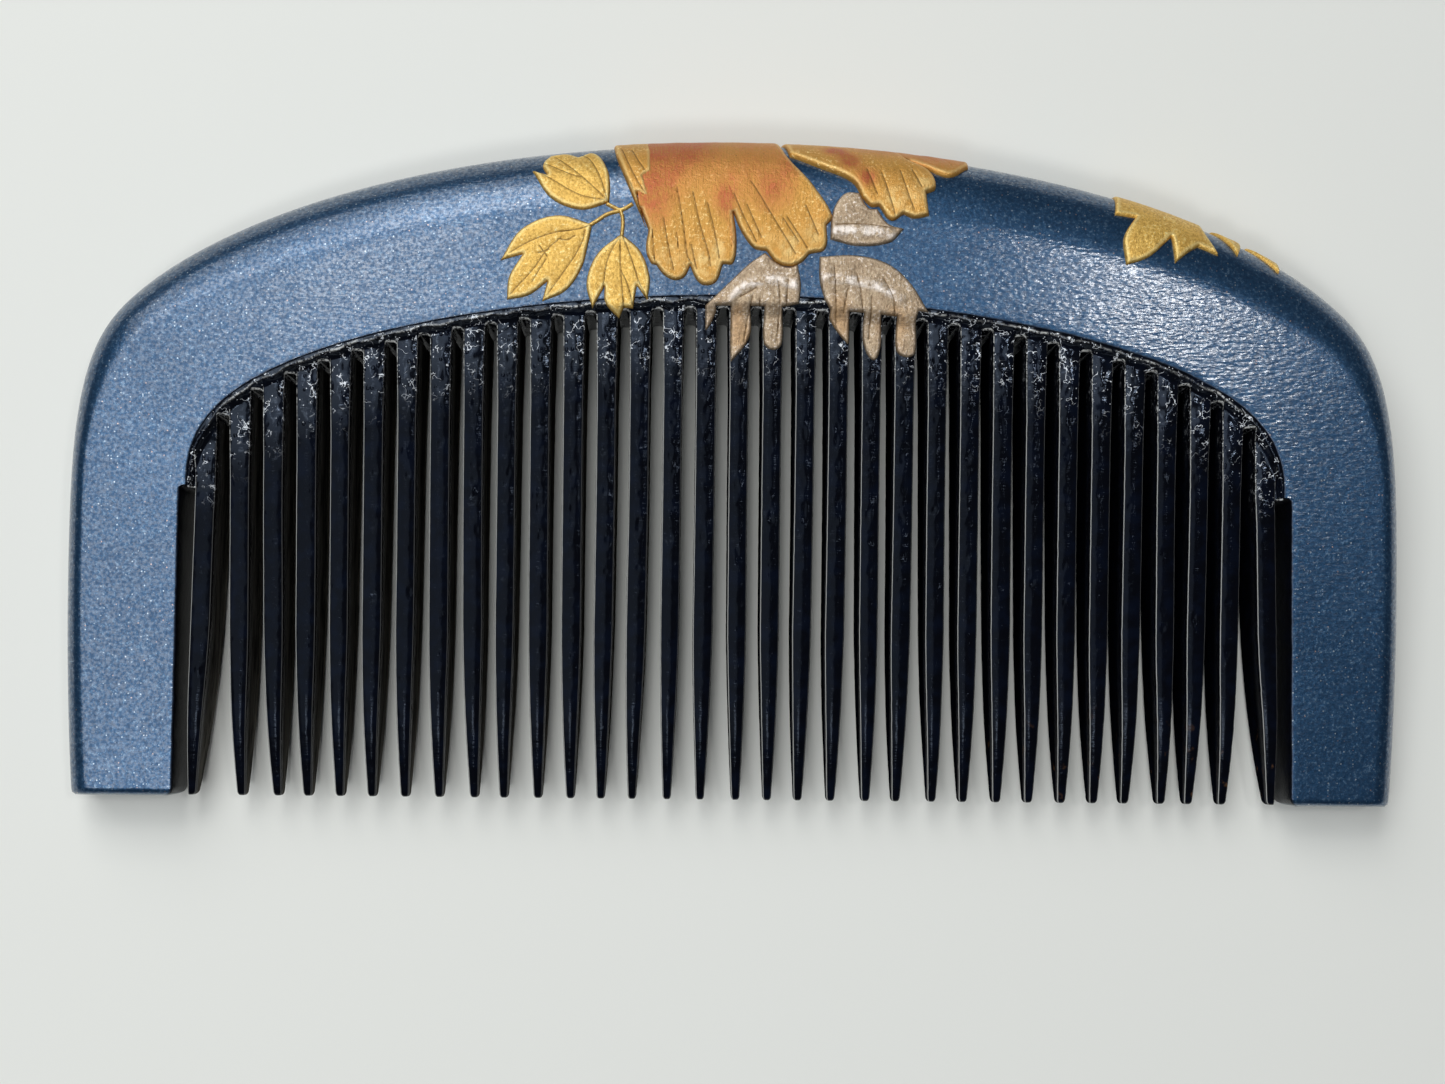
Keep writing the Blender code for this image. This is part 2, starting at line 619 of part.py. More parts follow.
def build_relief(name, outline, rise, color, roughness, parent, collection):
    """Raised piece: its outline laid over the board and given a thickness along the normal."""
    bm = bmesh.new()
    bm.faces.new([bm.verts.new((p.x, p.y, 0.0)) for p in outline])
    for axis, spacing in ((0, CUT_ALONG), (1, CUT_ACROSS)):
        low = min(p[axis] for p in outline)
        high = max(p[axis] for p in outline)
        cuts = [i * spacing for i in range(math.ceil(low / spacing), math.floor(high / spacing) + 1)]
        if axis == 1:
            cuts = [q for q in cuts if abs(q - STEP_START) > STEP_RUN] + [STEP_START, STEP_END]
        for cut in cuts:
            spot = (cut, 0.0, 0.0) if axis == 0 else (0.0, cut, 0.0)
            bmesh.ops.bisect_plane(bm, geom=bm.verts[:] + bm.edges[:] + bm.faces[:], dist=MERGE,
                                   plane_co=spot, plane_no=(1.0 - axis, float(axis), 0.0))
    under = bm.verts[:]
    grown = bmesh.ops.extrude_face_region(bm, geom=bm.faces[:])
    over = [v for v in grown["geom"] if isinstance(v, bmesh.types.BMVert)]
    for vert in under:
        drop = step_down(vert.co.y)
        vert.co = board_point(vert.co.x, vert.co.y, SEAT_GAP - drop)
    for vert in over:
        drop = step_down(vert.co.y)
        vert.co = board_point(vert.co.x, vert.co.y, rise_at(vert.co.y, rise) - drop)
    return finish(name, bm, color, roughness, 0.85, parent, collection)


def build_ornament(parent, collection):
    """All leaves, stems and petals of the raised ornament."""
    gold, copper, silver = (0.72, 0.46, 0.12), (0.66, 0.30, 0.11), (0.45, 0.36, 0.27)
    for name, corners in GOLD_LEAVES.items():
        build_relief(name, smooth_outline(corners), LEAF_RISE, gold, 0.35, parent, collection)
    for name, corners in SHOULDER_LEAVES.items():
        moved = [(kind, place + Vector((SHOULDER_AT, 0.0))) for kind, place in corners]
        build_relief(name, smooth_outline(moved), LEAF_RISE, gold, 0.35, parent, collection)
    for name, route in STEMS.items():
        build_relief(name, ribbon_outline(route, STEM_WIDTH), STEM_RISE, gold, 0.35,
                     parent, collection)
    for name, corners in PETALS.items():
        build_relief(name, smooth_outline(corners), PETAL_RISE, copper, 0.35, parent, collection)
    for name, (start, lobes, end) in SILVER_LEAVES.items():
        corners = start + [corner for each in lobes for corner in lobe(*each)] + end
        build_relief(name, smooth_outline(corners), LEAF_RISE, silver, 0.4, parent, collection)
    build_relief("silver_leaf_back", smooth_outline(SILVER_BACK), LEAF_RISE, silver, 0.4,
                 parent, collection)


def main():
    """Clear the scene and build the comb."""
    for old in list(bpy.data.objects):
        bpy.data.objects.remove(old, do_unlink=True)
    comb = bpy.data.collections.new("hair_comb")
    bpy.context.scene.collection.children.link(comb)
    board = bpy.data.objects.new("board", None)
    board.location = (0.0, -(HEIGHT + RIDGE_RISE) / 2, 0.0)
    comb.objects.link(board)
    build_frame(board, comb)
    build_web(board, comb)
    for i in range(TEETH):
        build_tooth(i, board, comb)
    build_ornament(board, comb)


main()
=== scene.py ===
"""Finished surfaces of a decorative hair comb.

The comb is one wedge-shaped board of lacquered wood that lies on its flat back. X runs along its
length, Y from the tips of the teeth to the crown, Z out of the decorated face. The shapes are laid
out in metres on the board's own two curves, the ridge line and the arch, and every finished piece
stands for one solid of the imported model.
"""
import math
import random

import bmesh
import bpy
import numpy as np
from mathutils import Euler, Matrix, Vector, noise
from mathutils.geometry import interpolate_bezier


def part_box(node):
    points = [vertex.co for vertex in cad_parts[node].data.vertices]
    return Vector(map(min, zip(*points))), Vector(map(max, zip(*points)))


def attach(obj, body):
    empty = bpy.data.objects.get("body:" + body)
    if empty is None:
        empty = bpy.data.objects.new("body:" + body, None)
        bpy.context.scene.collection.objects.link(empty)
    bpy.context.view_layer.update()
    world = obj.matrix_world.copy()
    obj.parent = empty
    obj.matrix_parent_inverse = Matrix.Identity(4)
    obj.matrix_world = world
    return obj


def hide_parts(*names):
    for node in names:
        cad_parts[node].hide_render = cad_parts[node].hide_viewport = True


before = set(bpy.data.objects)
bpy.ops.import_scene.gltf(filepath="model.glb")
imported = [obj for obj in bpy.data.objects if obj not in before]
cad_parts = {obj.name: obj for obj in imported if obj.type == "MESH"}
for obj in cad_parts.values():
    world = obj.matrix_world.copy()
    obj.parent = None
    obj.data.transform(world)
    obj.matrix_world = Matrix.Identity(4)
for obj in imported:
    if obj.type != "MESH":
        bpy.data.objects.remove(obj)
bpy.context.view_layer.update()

bl_info = {
    "name": "Lacquered Hair Comb",
    "version": (1, 0, 0),
    "blender": (4, 5, 0),
    "location": "View3D > Sidebar > Hair Comb",
    "description": "Lacquered board, black teeth and raised powder ornament of a hair comb",
    "category": "Add Mesh",
}

MM = 0.001
FRAME_LOW, FRAME_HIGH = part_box("blue_frame")
TEETH = sum(name.startswith("tooth_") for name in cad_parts)
BODY = "root"

# Curves of the board. A span's pulls say how far it keeps the slope of its start and of its end,
# as shares of the straight distance between the two knots.
SHOULDER_IN = 4.0 * MM
SHOULDER_DROP = 12.4 * MM
BELLY_HEIGHT = 14.5 * MM
FOOT_TUCK = 0.5 * MM
LEVEL, DOWN = 0.0, math.radians(90.0)
SHOULDER_SLOPE, FOOT_SLOPE = math.radians(44.8), math.radians(95.0)
CROWN_PULLS, SHOULDER_PULLS, BELLY_PULLS = (0.45, 0.21), (0.22, 0.60), (0.38, 0.17)
HAUNCH_IN = 6.4 * MM
HAUNCH_DROP = 5.7 * MM
HAUNCH_SLOPE = math.radians(26.0)
ARCH_PULLS, HAUNCH_PULLS = (0.403, 0.22), (0.333, 0.428)
SPRING_DROP = 25.9 * MM      # from the crown down to where the arch meets the guards
END_SLOT_DROP = 0.6 * MM     # from there down to the top of an end slot
CURVE_STEPS = 130            # samples of each curve span
ARC_SAMPLES = 64             # straight pieces that the rounding is measured in

SLOPE_STEP = 0.05 * MM       # half the run over which the arch's slope is measured
PARALLEL, NEAR = 1e-12, 1e-6    # slack for crossing lines
MERGE = 1e-7                 # points of a seam closer than this are merged

# Distances over which things fade
STEP_BLEND = 0.35 * MM       # where the end slot steps into the guard
SHEAR_RUN = 6.0 * MM         # below its top, a tooth's rows turn level
EDGE_CLEAR = 0.25 * MM       # from the blue's edge to where a raised piece starts to step down
STEP_RUN = 0.4 * MM          # from there to where a silver leaf splits into its lobes
DRAPE = 1.3 * MM             # over which a raised piece steps down to the black field
RISE_RUN = 5.0 * MM          # from the ridge line to where a raised piece has its full height
RIDGE_RISE = 0.25 * MM       # height of a raised piece at the ridge line


# Settings

def length(name, description, default):
    """A length that a user may change, given in metres."""
    return bpy.props.FloatProperty(name=name, description=description, default=default,
                                   min=0.0, precision=5, unit="LENGTH")


def colour(name, description, default):
    """A colour that a user may change."""
    return bpy.props.FloatVectorProperty(name=name, description=description, default=default,
                                         size=3, min=0.0, max=1.0, subtype="COLOR")


def share(name, description, default):
    """A share between nothing and all."""
    return bpy.props.FloatProperty(name=name, description=description, default=default,
                                   min=0.0, max=1.0, subtype="FACTOR")


def power(name, description, default):
    """The power of a lamp in watts."""
    return bpy.props.FloatProperty(name=name, description=description, default=default,
                                   min=0.0, unit="POWER")


class CombShape(bpy.types.PropertyGroup):
    """Sizes of the board, the teeth and the relief."""

    crown_band: length("Crown band", "Blue lacquer above the arch, at the middle", 12.1 * MM)
    guard_width: length("Guard width", "Width of a guard at the end slot", 8.8 * MM)
    guard_splay: length("Guard splay", "How far the guards spread towards their feet", 0.4 * MM)
    foot_thickness: length("Foot thickness", "Thickness of the board at the feet", 4.6 * MM)
    crown_thickness: length("Crown thickness", "Thickness of the wedge at the crown", 9.4 * MM)
    crown_round: length("Crown rounding", "Width of the rounding at the crown", 6.0 * MM)
    guard_round: length("Guard rounding", "Width of the rounding along the guards", 1.8 * MM)
    foot_bevel: length("Foot bevel", "Worn bevel under the guards", 0.6 * MM)
    field_recess: length("Field recess", "Depth of the black field below the blue", 0.5 * MM)
    lip_round: length("Lip rounding", "Rounding where the blue turns into the arch", 0.20 * MM)
    lip_wave: length("Lip waviness", "How far the rubbed lip wanders", 0.05 * MM)
    tooth_pitch: length("Tooth pitch", "Distance from tooth to tooth", 2.445 * MM)
    root_width: length("Root width", "Width of a tooth at its root", 1.6 * MM)
    mid_width: length("Middle width", "Width of a tooth along its middle", 1.43 * MM)
    tip_width: length("Tip width", "Width of a tooth at its tip", 0.6 * MM)
    tip_depth: length("Tip depth", "Depth of a tooth at its tip", 1.3 * MM)
    end_slot: length("End slot", "Gap between a guard and its nearest tooth", 1.0 * MM)
    slot_step: length("Slot step", "How far the end slot is cut into the guard", 0.55 * MM)
    end_lean: length("End tooth lean", "How far the end teeth lean outwards", 0.7 * MM)
    web_depth: length("Web depth", "Black field above the middle of a slot", 0.7 * MM)
    web_least: length("Least web", "Black field above the corner of a slot", 0.4 * MM)
    leaf_rise: length("Leaf rise", "Height of the leaves above the blue", 0.34 * MM)
    petal_rise: length("Petal rise", "Height of the petals above the blue", 0.46 * MM)
    stem_rise: length("Stem rise", "Height of the stems above the blue", 0.24 * MM)
    stem_width: length("Stem width", "Width of the stems", 0.29 * MM)
    vein_depth: length("Vein depth", "Depth of the engraved veins", 0.055 * MM)
    vein_width: length("Vein width", "Half width of the engraved veins", 0.050 * MM)


class CombFinish(bpy.types.PropertyGroup):
    """Colours of the lacquers and powders, with their wear and their painted highlights and
    painted light.
    """

    blue: colour("Blue lacquer", "Ground colour of the board", (0.025, 0.078, 0.165))
    blue_deep: colour("Deep blue", "Darker clouds in the blue lacquer", (0.017, 0.060, 0.132))
    dust: colour("Dust", "Fine metal dust in the blue lacquer", (0.17, 0.27, 0.38))
    fleck: colour("Flecks", "Coarse metal dust in the blue lacquer", (0.50, 0.58, 0.64))
    black: colour("Black lacquer", "Lacquer of the teeth", (0.0022, 0.0026, 0.0044))
    # The rubbed-side colour is partly painted light: only the right-facing saw cuts get it, so
    # they stay lighter than the left-facing ones.
    bare: colour("Rubbed side", "Thin lacquer in the saw cuts", (0.16, 0.15, 0.13))
    # The rim colour is both wear, on the slots' rims, and painted highlight, along the teeth's
    # edges and the crest of the bead.
    wear_and_highlight: colour("Worn rim", "Lacquer rubbed thin on the sharp rims", (0.74, 0.74, 0.71))
    gold: colour("Gold powder", "Powder of the leaves", (0.84, 0.53, 0.128))
    red_gold: colour("Reddish gold", "Powder of the petals", (0.62, 0.305, 0.064))
    # The deep gold is also the painted shade at the very rims of the leaves and petals.
    gold_deep: colour("Deep gold", "Thinner powder and engraved lines", (0.46, 0.25, 0.045))
    copper: colour("Copper powder", "Red powder of the petals", (0.46, 0.100, 0.040))
    orange: colour("Orange powder", "Gold over red on the petals", (0.57, 0.225, 0.057))
    silver: colour("Silver powder", "Powder of the silver leaves", (0.46, 0.345, 0.225))
    silver_warm: colour("Warm silver", "Copper tint of the silver leaves", (0.52, 0.33, 0.17))
    fleck_share: share("Fleck share", "Share of the lacquer's cells that hold a fleck", 0.22)
    blue_metal: share("Blue metal", "How metallic the blue lacquer looks", 0.70)
    blue_coat: share("Clear coat", "Strength of the clear coat over the blue", 0.74)
    powder_metal: share("Powder metal", "How metallic the powders look", 0.55)


class CombStage(bpy.types.PropertyGroup):
    """Floor, lamps and sky of the studio."""

    floor: colour("Floor", "Plain pale floor", (0.755, 0.756, 0.715))
    sky: colour("Sky", "Light from all round", (0.80, 0.88, 1.0))
    sky_strength: share("Sky strength", "Strength of the light from all round", 0.05)
    overhead: power("Overhead lamp", "Lamp above and beyond the teeth", 0.53)
    front: power("Front lamp", "Small lamp before the teeth", 0.42)
    panel: power("Panel", "Broad dim panel above the left half", 2.15)
    window: power("Window", "Wide lamp beyond the crown", 1.45)
    spark: power("Shoulder lamp", "Small lamp above the right shoulder", 0.155)
    glow: power("Crown lamp", "Dim lamp above the left half of the crown", 0.085)


# The board's curves and its surface

def span(start, end, slopes, pulls):
    """One curve span that leaves and arrives falling at the given slopes."""
    start, end = Vector(start), Vector(end)
    chord = (end - start).length
    leave, arrive = (Vector((math.cos(slope), -math.sin(slope))) for slope in slopes)
    return interpolate_bezier(start, start + leave * chord * pulls[0],
                              end - arrive * chord * pulls[1], end, CURVE_STEPS + 1)


def smooth(low, high, values):
    """Soft step of an array, 0 below low and 1 above high."""
    values = np.clip((values - low) / (high - low), 0.0, 1.0)
    return values * values * (3.0 - 2.0 * values)


def unit(vectors):
    """Vectors of an array at length one."""
    return vectors / np.linalg.norm(vectors, axis=-1, keepdims=True)


def along(line):
    """Length of a line up to each of its points."""
    return np.concatenate([[0.0], np.cumsum(np.linalg.norm(np.diff(line, axis=0), axis=1))])


def crossing(start, direction, curve):
    """First point where a ray from the arch meets the ridge line."""
    for a, b in zip(curve, curve[1:]):
        piece = b - a
        turn = direction.cross(piece)
        if abs(turn) < PARALLEL:
            continue
        gap = a - start
        part = gap.cross(direction) / turn
        if gap.cross(piece) / turn > 0.0 and -NEAR <= part <= 1.0 + NEAR:
            return a + piece * part
    raise ValueError("a rib misses the ridge line")


class Board:
    """The board's curves and sizes, with heights counted from the tips of the teeth."""

    def __init__(self, shape):
        self.shape = shape
        self.height = FRAME_HIGH.y - FRAME_LOW.y
        self.guard_inner = ((TEETH - 1) / 2 * shape.tooth_pitch + shape.root_width / 2
                            + shape.end_slot)
        self.half_length = self.guard_inner + shape.guard_width
        self.spring_x = self.guard_inner - shape.slot_step
        self.arch_top = self.height - shape.crown_band
        self.spring_y = self.height - SPRING_DROP
        self.slot_y = self.spring_y - END_SLOT_DROP
        shoulder = (self.half_length - SHOULDER_IN, self.height - SHOULDER_DROP)
        belly = (self.half_length, BELLY_HEIGHT)
        outer = span((0.0, self.height), shoulder, (LEVEL, SHOULDER_SLOPE), CROWN_PULLS)
        self.shoulder_at = sum((b - a).length for a, b in zip(outer, outer[1:]))
        outer += span(shoulder, belly, (SHOULDER_SLOPE, DOWN), SHOULDER_PULLS)[1:]
        outer += span(belly, (self.half_length - FOOT_TUCK, 0.0), (DOWN, FOOT_SLOPE),
                      BELLY_PULLS)[1:]
        haunch = (self.spring_x - HAUNCH_IN, self.arch_top - HAUNCH_DROP)
        inner = span((0.0, self.arch_top), haunch, (LEVEL, HAUNCH_SLOPE), ARCH_PULLS)
        inner += span(haunch, (self.spring_x, self.spring_y), (HAUNCH_SLOPE, DOWN),
                      HAUNCH_PULLS)[1:]
        self.outer, self.inner = outer, np.array(inner)
        ridge, arch = [outer[0]], [inner[0]]
        for before, here, after in zip(inner, inner[1:], inner[2:]):
            slope = (after - before).normalized()
            ridge.append(crossing(here, Vector((-slope.y, slope.x)), outer))
            arch.append(here)
        self.ridge, self.arch = np.array(ridge), np.array(arch)
        self.stations = along(self.ridge)
        half = self.thickness(self.height) / 2
        quarter = self.round_lengths(np.array([shape.crown_round]), np.array([half]))[0, -1]
        self.step_start = quarter + shape.crown_band - shape.crown_round + EDGE_CLEAR

    def thickness(self, y):
        """Thickness of the wedge at heights above the tips."""
        shape = self.shape
        return (shape.foot_thickness
                + (shape.crown_thickness - shape.foot_thickness) * y / self.height)

    def rounding(self, y):
        """Width of the rounding towards the ridge, wide on the crown and narrow on the guards."""
        part = smooth(self.spring_y, self.height, y)
        return self.shape.guard_round + (self.shape.crown_round - self.shape.guard_round) * part

    def arch_height(self, x):
        """Height of the arch at distances from the middle."""
        return np.interp(np.abs(x), self.inner[:, 0], self.inner[:, 1])

    def arch_gap(self, x, y):
        """Distance below the arch, measured square to it."""
        low, high = self.arch_height(x - SLOPE_STEP), self.arch_height(x + SLOPE_STEP)
        rise = (high - low) / (2 * SLOPE_STEP)
        return (self.arch_height(x) - y) / np.sqrt(1.0 + rise * rise)

    def wall(self, y):
        """Inner face of the right guard, with the rounded step of the end slot."""
        part = np.clip((self.slot_y + STEP_BLEND / 2 - y) / STEP_BLEND, 0.0, 1.0)
        splay = self.shape.guard_splay * np.clip(1.0 - y / self.slot_y, 0.0, 1.0)
        return self.spring_x + self.shape.slot_step * np.sqrt(1.0 - (1.0 - part) ** 2) + splay

    def round_lengths(self, rounding, half):
        """Surface length from the ridge line to each sample of the rounding."""
        turns = np.linspace(0.0, math.pi / 2, ARC_SAMPLES + 1)
        x = rounding[:, None] * (1.0 - np.cos(turns))
        z = half[:, None] * np.sin(turns)
        steps = np.hypot(np.diff(x, axis=1), np.diff(z, axis=1))
        return np.concatenate([np.zeros((len(x), 1)), np.cumsum(steps, axis=1)], axis=1)

    def surface(self, s, q, lift):
        """Points over the board's surface.

        s runs along the ridge line from the middle, q over the surface from the ridge line,
        towards the arch on the front and negative on the back; lift is the height above it.
        """
        side = np.where(s < 0.0, -1.0, 1.0)
        reach = np.abs(s)
        ridge, arch = (np.column_stack([np.interp(reach, self.stations, line[:, k])
                                        for k in (0, 1)]) for line in (self.ridge, self.arch))
        inward = unit(arch - ridge)
        ridge[:, 0] *= side
        inward[:, 0] *= side
        rounding = self.rounding(ridge[:, 1])
        half = self.thickness(ridge[:, 1]) / 2
        lengths = self.round_lengths(rounding, half)
        span_q = np.abs(q)
        index = np.clip((lengths < span_q[:, None]).sum(axis=1) - 1, 0, ARC_SAMPLES - 1)
        rows = np.arange(len(s))
        low, high = lengths[rows, index], lengths[rows, index + 1]
        part = np.clip((span_q - low) / (high - low), 0.0, 1.0)
        turn = (index + part) * (math.pi / 2) / ARC_SAMPLES
        flat = np.maximum(span_q - lengths[:, -1], 0.0)
        depth = rounding * (1.0 - np.cos(turn)) + flat
        turn = np.copysign(turn, q)
        place = ridge + inward * depth[:, None]
        half = self.thickness(place[:, 1]) / 2
        out = np.column_stack([-inward * (half * np.cos(turn))[:, None], rounding * np.sin(turn)])
        points = np.column_stack([place, half * (1.0 + np.sin(turn))])
        return points + unit(out) * lift[:, None]

    def tooth_middle(self, number):
        """Distance of a tooth's root from the middle of the comb; teeth count from 1."""
        return (number - (TEETH + 1) / 2) * self.shape.tooth_pitch

    def slot_top(self, number):
        """Top of the slot on the left of a tooth."""
        if number in (1, TEETH + 1):
            return self.slot_y
        middle = self.tooth_middle(number) - self.shape.tooth_pitch / 2
        corner = abs(middle) + (self.shape.tooth_pitch - self.shape.root_width) / 2
        return min(self.arch_height(middle) - self.shape.web_depth,
                   self.arch_height(corner) - self.shape.web_least)

    def step_down(self, q):
        """How far a raised piece has stepped down from the blue to the black field."""
        return self.shape.field_recess * smooth(self.step_start, self.step_start + DRAPE, q)


# Mesh helpers

def wander(points, scale, seed):
    """Smooth noise between -1 and 1 at points, with features about 1 / scale metres long."""
    offset = Vector((seed * 7.31, seed * 3.77, seed * 1.93))
    return np.array([noise.noise(Vector(p) * scale + offset) for p in points])


def ring_piece(node, rings, layers, material, angle=60.0):
    """Finished piece with a closed skin over rings of points, and numbers stored on them.

    It is a grid moved onto the rings, whose seam is merged and whose ends are filled.
    """
    count, around = rings.shape[:2]
    bm = bmesh.new()
    bmesh.ops.create_grid(bm, x_segments=around, y_segments=count - 1, size=0.5)
    for vert, place in zip(bm.verts, with_seam(rings)):
        vert.co = place
    for name, values in layers.items():
        layer = bm.verts.layers.float.new(name)
        for vert, value in zip(bm.verts, with_seam(values)):
            vert[layer] = value[0]
    seam = [vert for vert in bm.verts if vert.index % (around + 1) in (0, around)]
    bmesh.ops.remove_doubles(bm, verts=seam, dist=MERGE)
    bmesh.ops.holes_fill(bm, edges=[edge for edge in bm.edges if edge.is_boundary], sides=0)
    finish_piece(node, bm, material, angle)


def with_seam(values):
    """Values at the points of rings as rows, with each ring's first one repeated at its end."""
    values = np.concatenate([values, values[:, :1]], axis=1)
    return values.reshape(values.shape[0] * values.shape[1], -1)


def finish_piece(node, bm, material, angle=60.0):
    """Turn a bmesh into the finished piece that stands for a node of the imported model."""
    for vert in bm.verts:
        vert.co.y += FRAME_LOW.y
    bmesh.ops.recalc_face_normals(bm, faces=bm.faces)
    if bm.calc_volume(signed=True) < 0.0:
        bmesh.ops.reverse_faces(bm, faces=bm.faces)
    mesh = bpy.data.meshes.new(node + "_finish")
    bm.to_mesh(mesh)
    bm.free()
    mesh.shade_smooth()
    mesh.set_sharp_from_angle(angle=math.radians(angle))
    mesh.materials.append(material)
    piece = bpy.data.objects.new(node + "_finish", mesh)
    bpy.context.scene.collection.objects.link(piece)
    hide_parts(node)
    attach(piece, BODY)


# Materials

BLUISH_CLOUDS_AND_SHEEN = (0.0028, 0.0042, 0.0095)    # bluish clouds in the black lacquer, partly a painted blue sheen
GLOSS_TINT = (0.62, 0.76, 1.0, 1.0)      # tint of the black lacquer's reflections
GLINT = (0.85, 0.88, 0.92)               # painted glints near the roots of the teeth
BROWN = (0.10, 0.050, 0.022)             # thin lacquer on the tips of the teeth
PORE = (0.011, 0.038, 0.088)             # between the grains of dust in the blue
WARM_FLECK = (0.52, 0.36, 0.30)          # a few of the flecks in the blue
SCRATCH = (0.26, 0.36, 0.46)             # hairline scratches in the blue
LIP_SHADE = (0.030, 0.028, 0.030)      # painted shade where the blue turns into the arch
FOOT_WEAR = (0.26, 0.31, 0.34)           # rubbed bevel under the guards
PIT = (0.09, 0.05, 0.015)                # pits in the powder
GROOVE = (0.13, 0.065, 0.012)            # engraved veins
SILVER_THIN = (0.20, 0.13, 0.075)        # thinner silver powder, also the painted shade at the silver's rims
SILVER_LIGHT = (0.92, 0.84, 0.78)        # bright grains of the powders, and the colour of their painted highlights
GOLD_LIGHT = (0.98, 0.88, 0.44)
PETAL_LIGHT = (1.0, 0.82, 0.38)


class Value:
    """What a node gives, ready for sums with numbers and with what other nodes give."""

    def __init__(self, paint, socket):
        self.paint, self.socket = paint, socket

    def __add__(self, other):
        return self.paint.calc("ADD", self, other)

    def __sub__(self, other):
        return self.paint.calc("SUBTRACT", self, other)

    def __rsub__(self, other):
        return self.paint.calc("SUBTRACT", other, self)

    def __mul__(self, other):
        return self.paint.calc("MULTIPLY", self, other)


class Paint:
    """A material with short ways to add nodes to it. Patterns are laid out in millimetres."""

    def __init__(self, name, base):
        self.material = bpy.data.materials.new(name)
        self.material.use_nodes = True
        self.tree = self.material.node_tree
        self.base = base
        self.place = self.scaled(self.add("TexCoord")["Object"], (1.0 / MM,) * 3)

    def connect(self, sockets, values):
        """Give sockets constants or what other nodes give."""
        for key, value in values.items():
            if isinstance(value, Value):
                self.tree.links.new(value.socket, sockets[key])
            else:
                sockets[key].default_value = value

    def add(self, kind, values=None, **settings):
        """Add a node, and list what it gives by name and by number."""
        made = self.tree.nodes.new("ShaderNode" + kind)
        for key, value in settings.items():
            setattr(made, key, value)
        self.connect(made.inputs, values or {})
        given = [Value(self, socket) for socket in made.outputs]
        return dict(enumerate(given)) | {value.socket.name: value for value in given}

    def scaled(self, vector, scale, turn=0.0):
        """Turn pattern coordinates about Z and stretch them."""
        return self.add("Mapping", {"Vector": vector, "Scale": scale,
                                    "Rotation": (0.0, 0.0, turn)})["Vector"]

    def calc(self, operation, a, b=0.0, clamp=False):
        """Arithmetic on two values."""
        return self.add("Math", {0: a, 1: b}, operation=operation, use_clamp=clamp)[0]

    def step(self, value, low, high):
        """Soft step from 0 at low to 1 at high; low may be the larger."""
        if low > high:
            return 1.0 - self.step(value, high, low)
        return self.add("MapRange", {"Value": value, "From Min": low, "From Max": high},
                        interpolation_type="SMOOTHSTEP")["Result"]

    def mix(self, factor, a, b):
        """Mix of two colours."""
        a, b = (value if isinstance(value, Value) else (*value[:3], 1.0) for value in (a, b))
        return self.add("Mix", {0: factor, 6: a, 7: b}, data_type="RGBA")[2]

    def cover(self, share, colour):
        """Lay a colour over the base colour, as much of it as the share says."""
        self.base = self.mix(share, self.base, colour)

    def cloud(self, scale, detail=2.0, vector=None, rough=0.5):
        """Noise between 0 and 1, with a scale per millimetre."""
        return self.add("TexNoise", {"Vector": vector or self.place, "Scale": scale,
                                     "Detail": detail, "Roughness": rough})[0]

    def patches(self, scale, low, high, detail=3.0, rough=0.5):
        """Noise pushed towards 0 and 1 by a soft step."""
        return self.step(self.cloud(scale, detail, rough=rough), low, high)

    def grains(self, scale, vector=None):
        """Scattered grains: distance to each one's middle, and its three random numbers."""
        made = self.add("TexVoronoi", {"Vector": vector or self.place, "Scale": scale})
        return made["Distance"], self.add("SeparateColor", {"Color": made["Color"]})

    def layer(self, name, kind="Fac"):
        """A number or a vector stored on the mesh."""
        return self.add("Attribute", attribute_name=name)[kind]

    def bump(self, height, distance, under=None):
        """Fine relief of a height in millimetres times distance, over other relief."""
        values = {"Height": height, "Distance": distance * MM}
        if under:
            values["Normal"] = under
        return self.add("Bump", values)["Normal"]

    def complete(self, **values):
        """Set the shader's own sockets, named with _ for a space, and give the material."""
        values = {key.replace("_", " "): value for key, value in values.items()}
        shader = self.tree.nodes["Principled BSDF"]
        self.connect(shader.inputs, {"Base Color": self.base, **values})
        return self.material


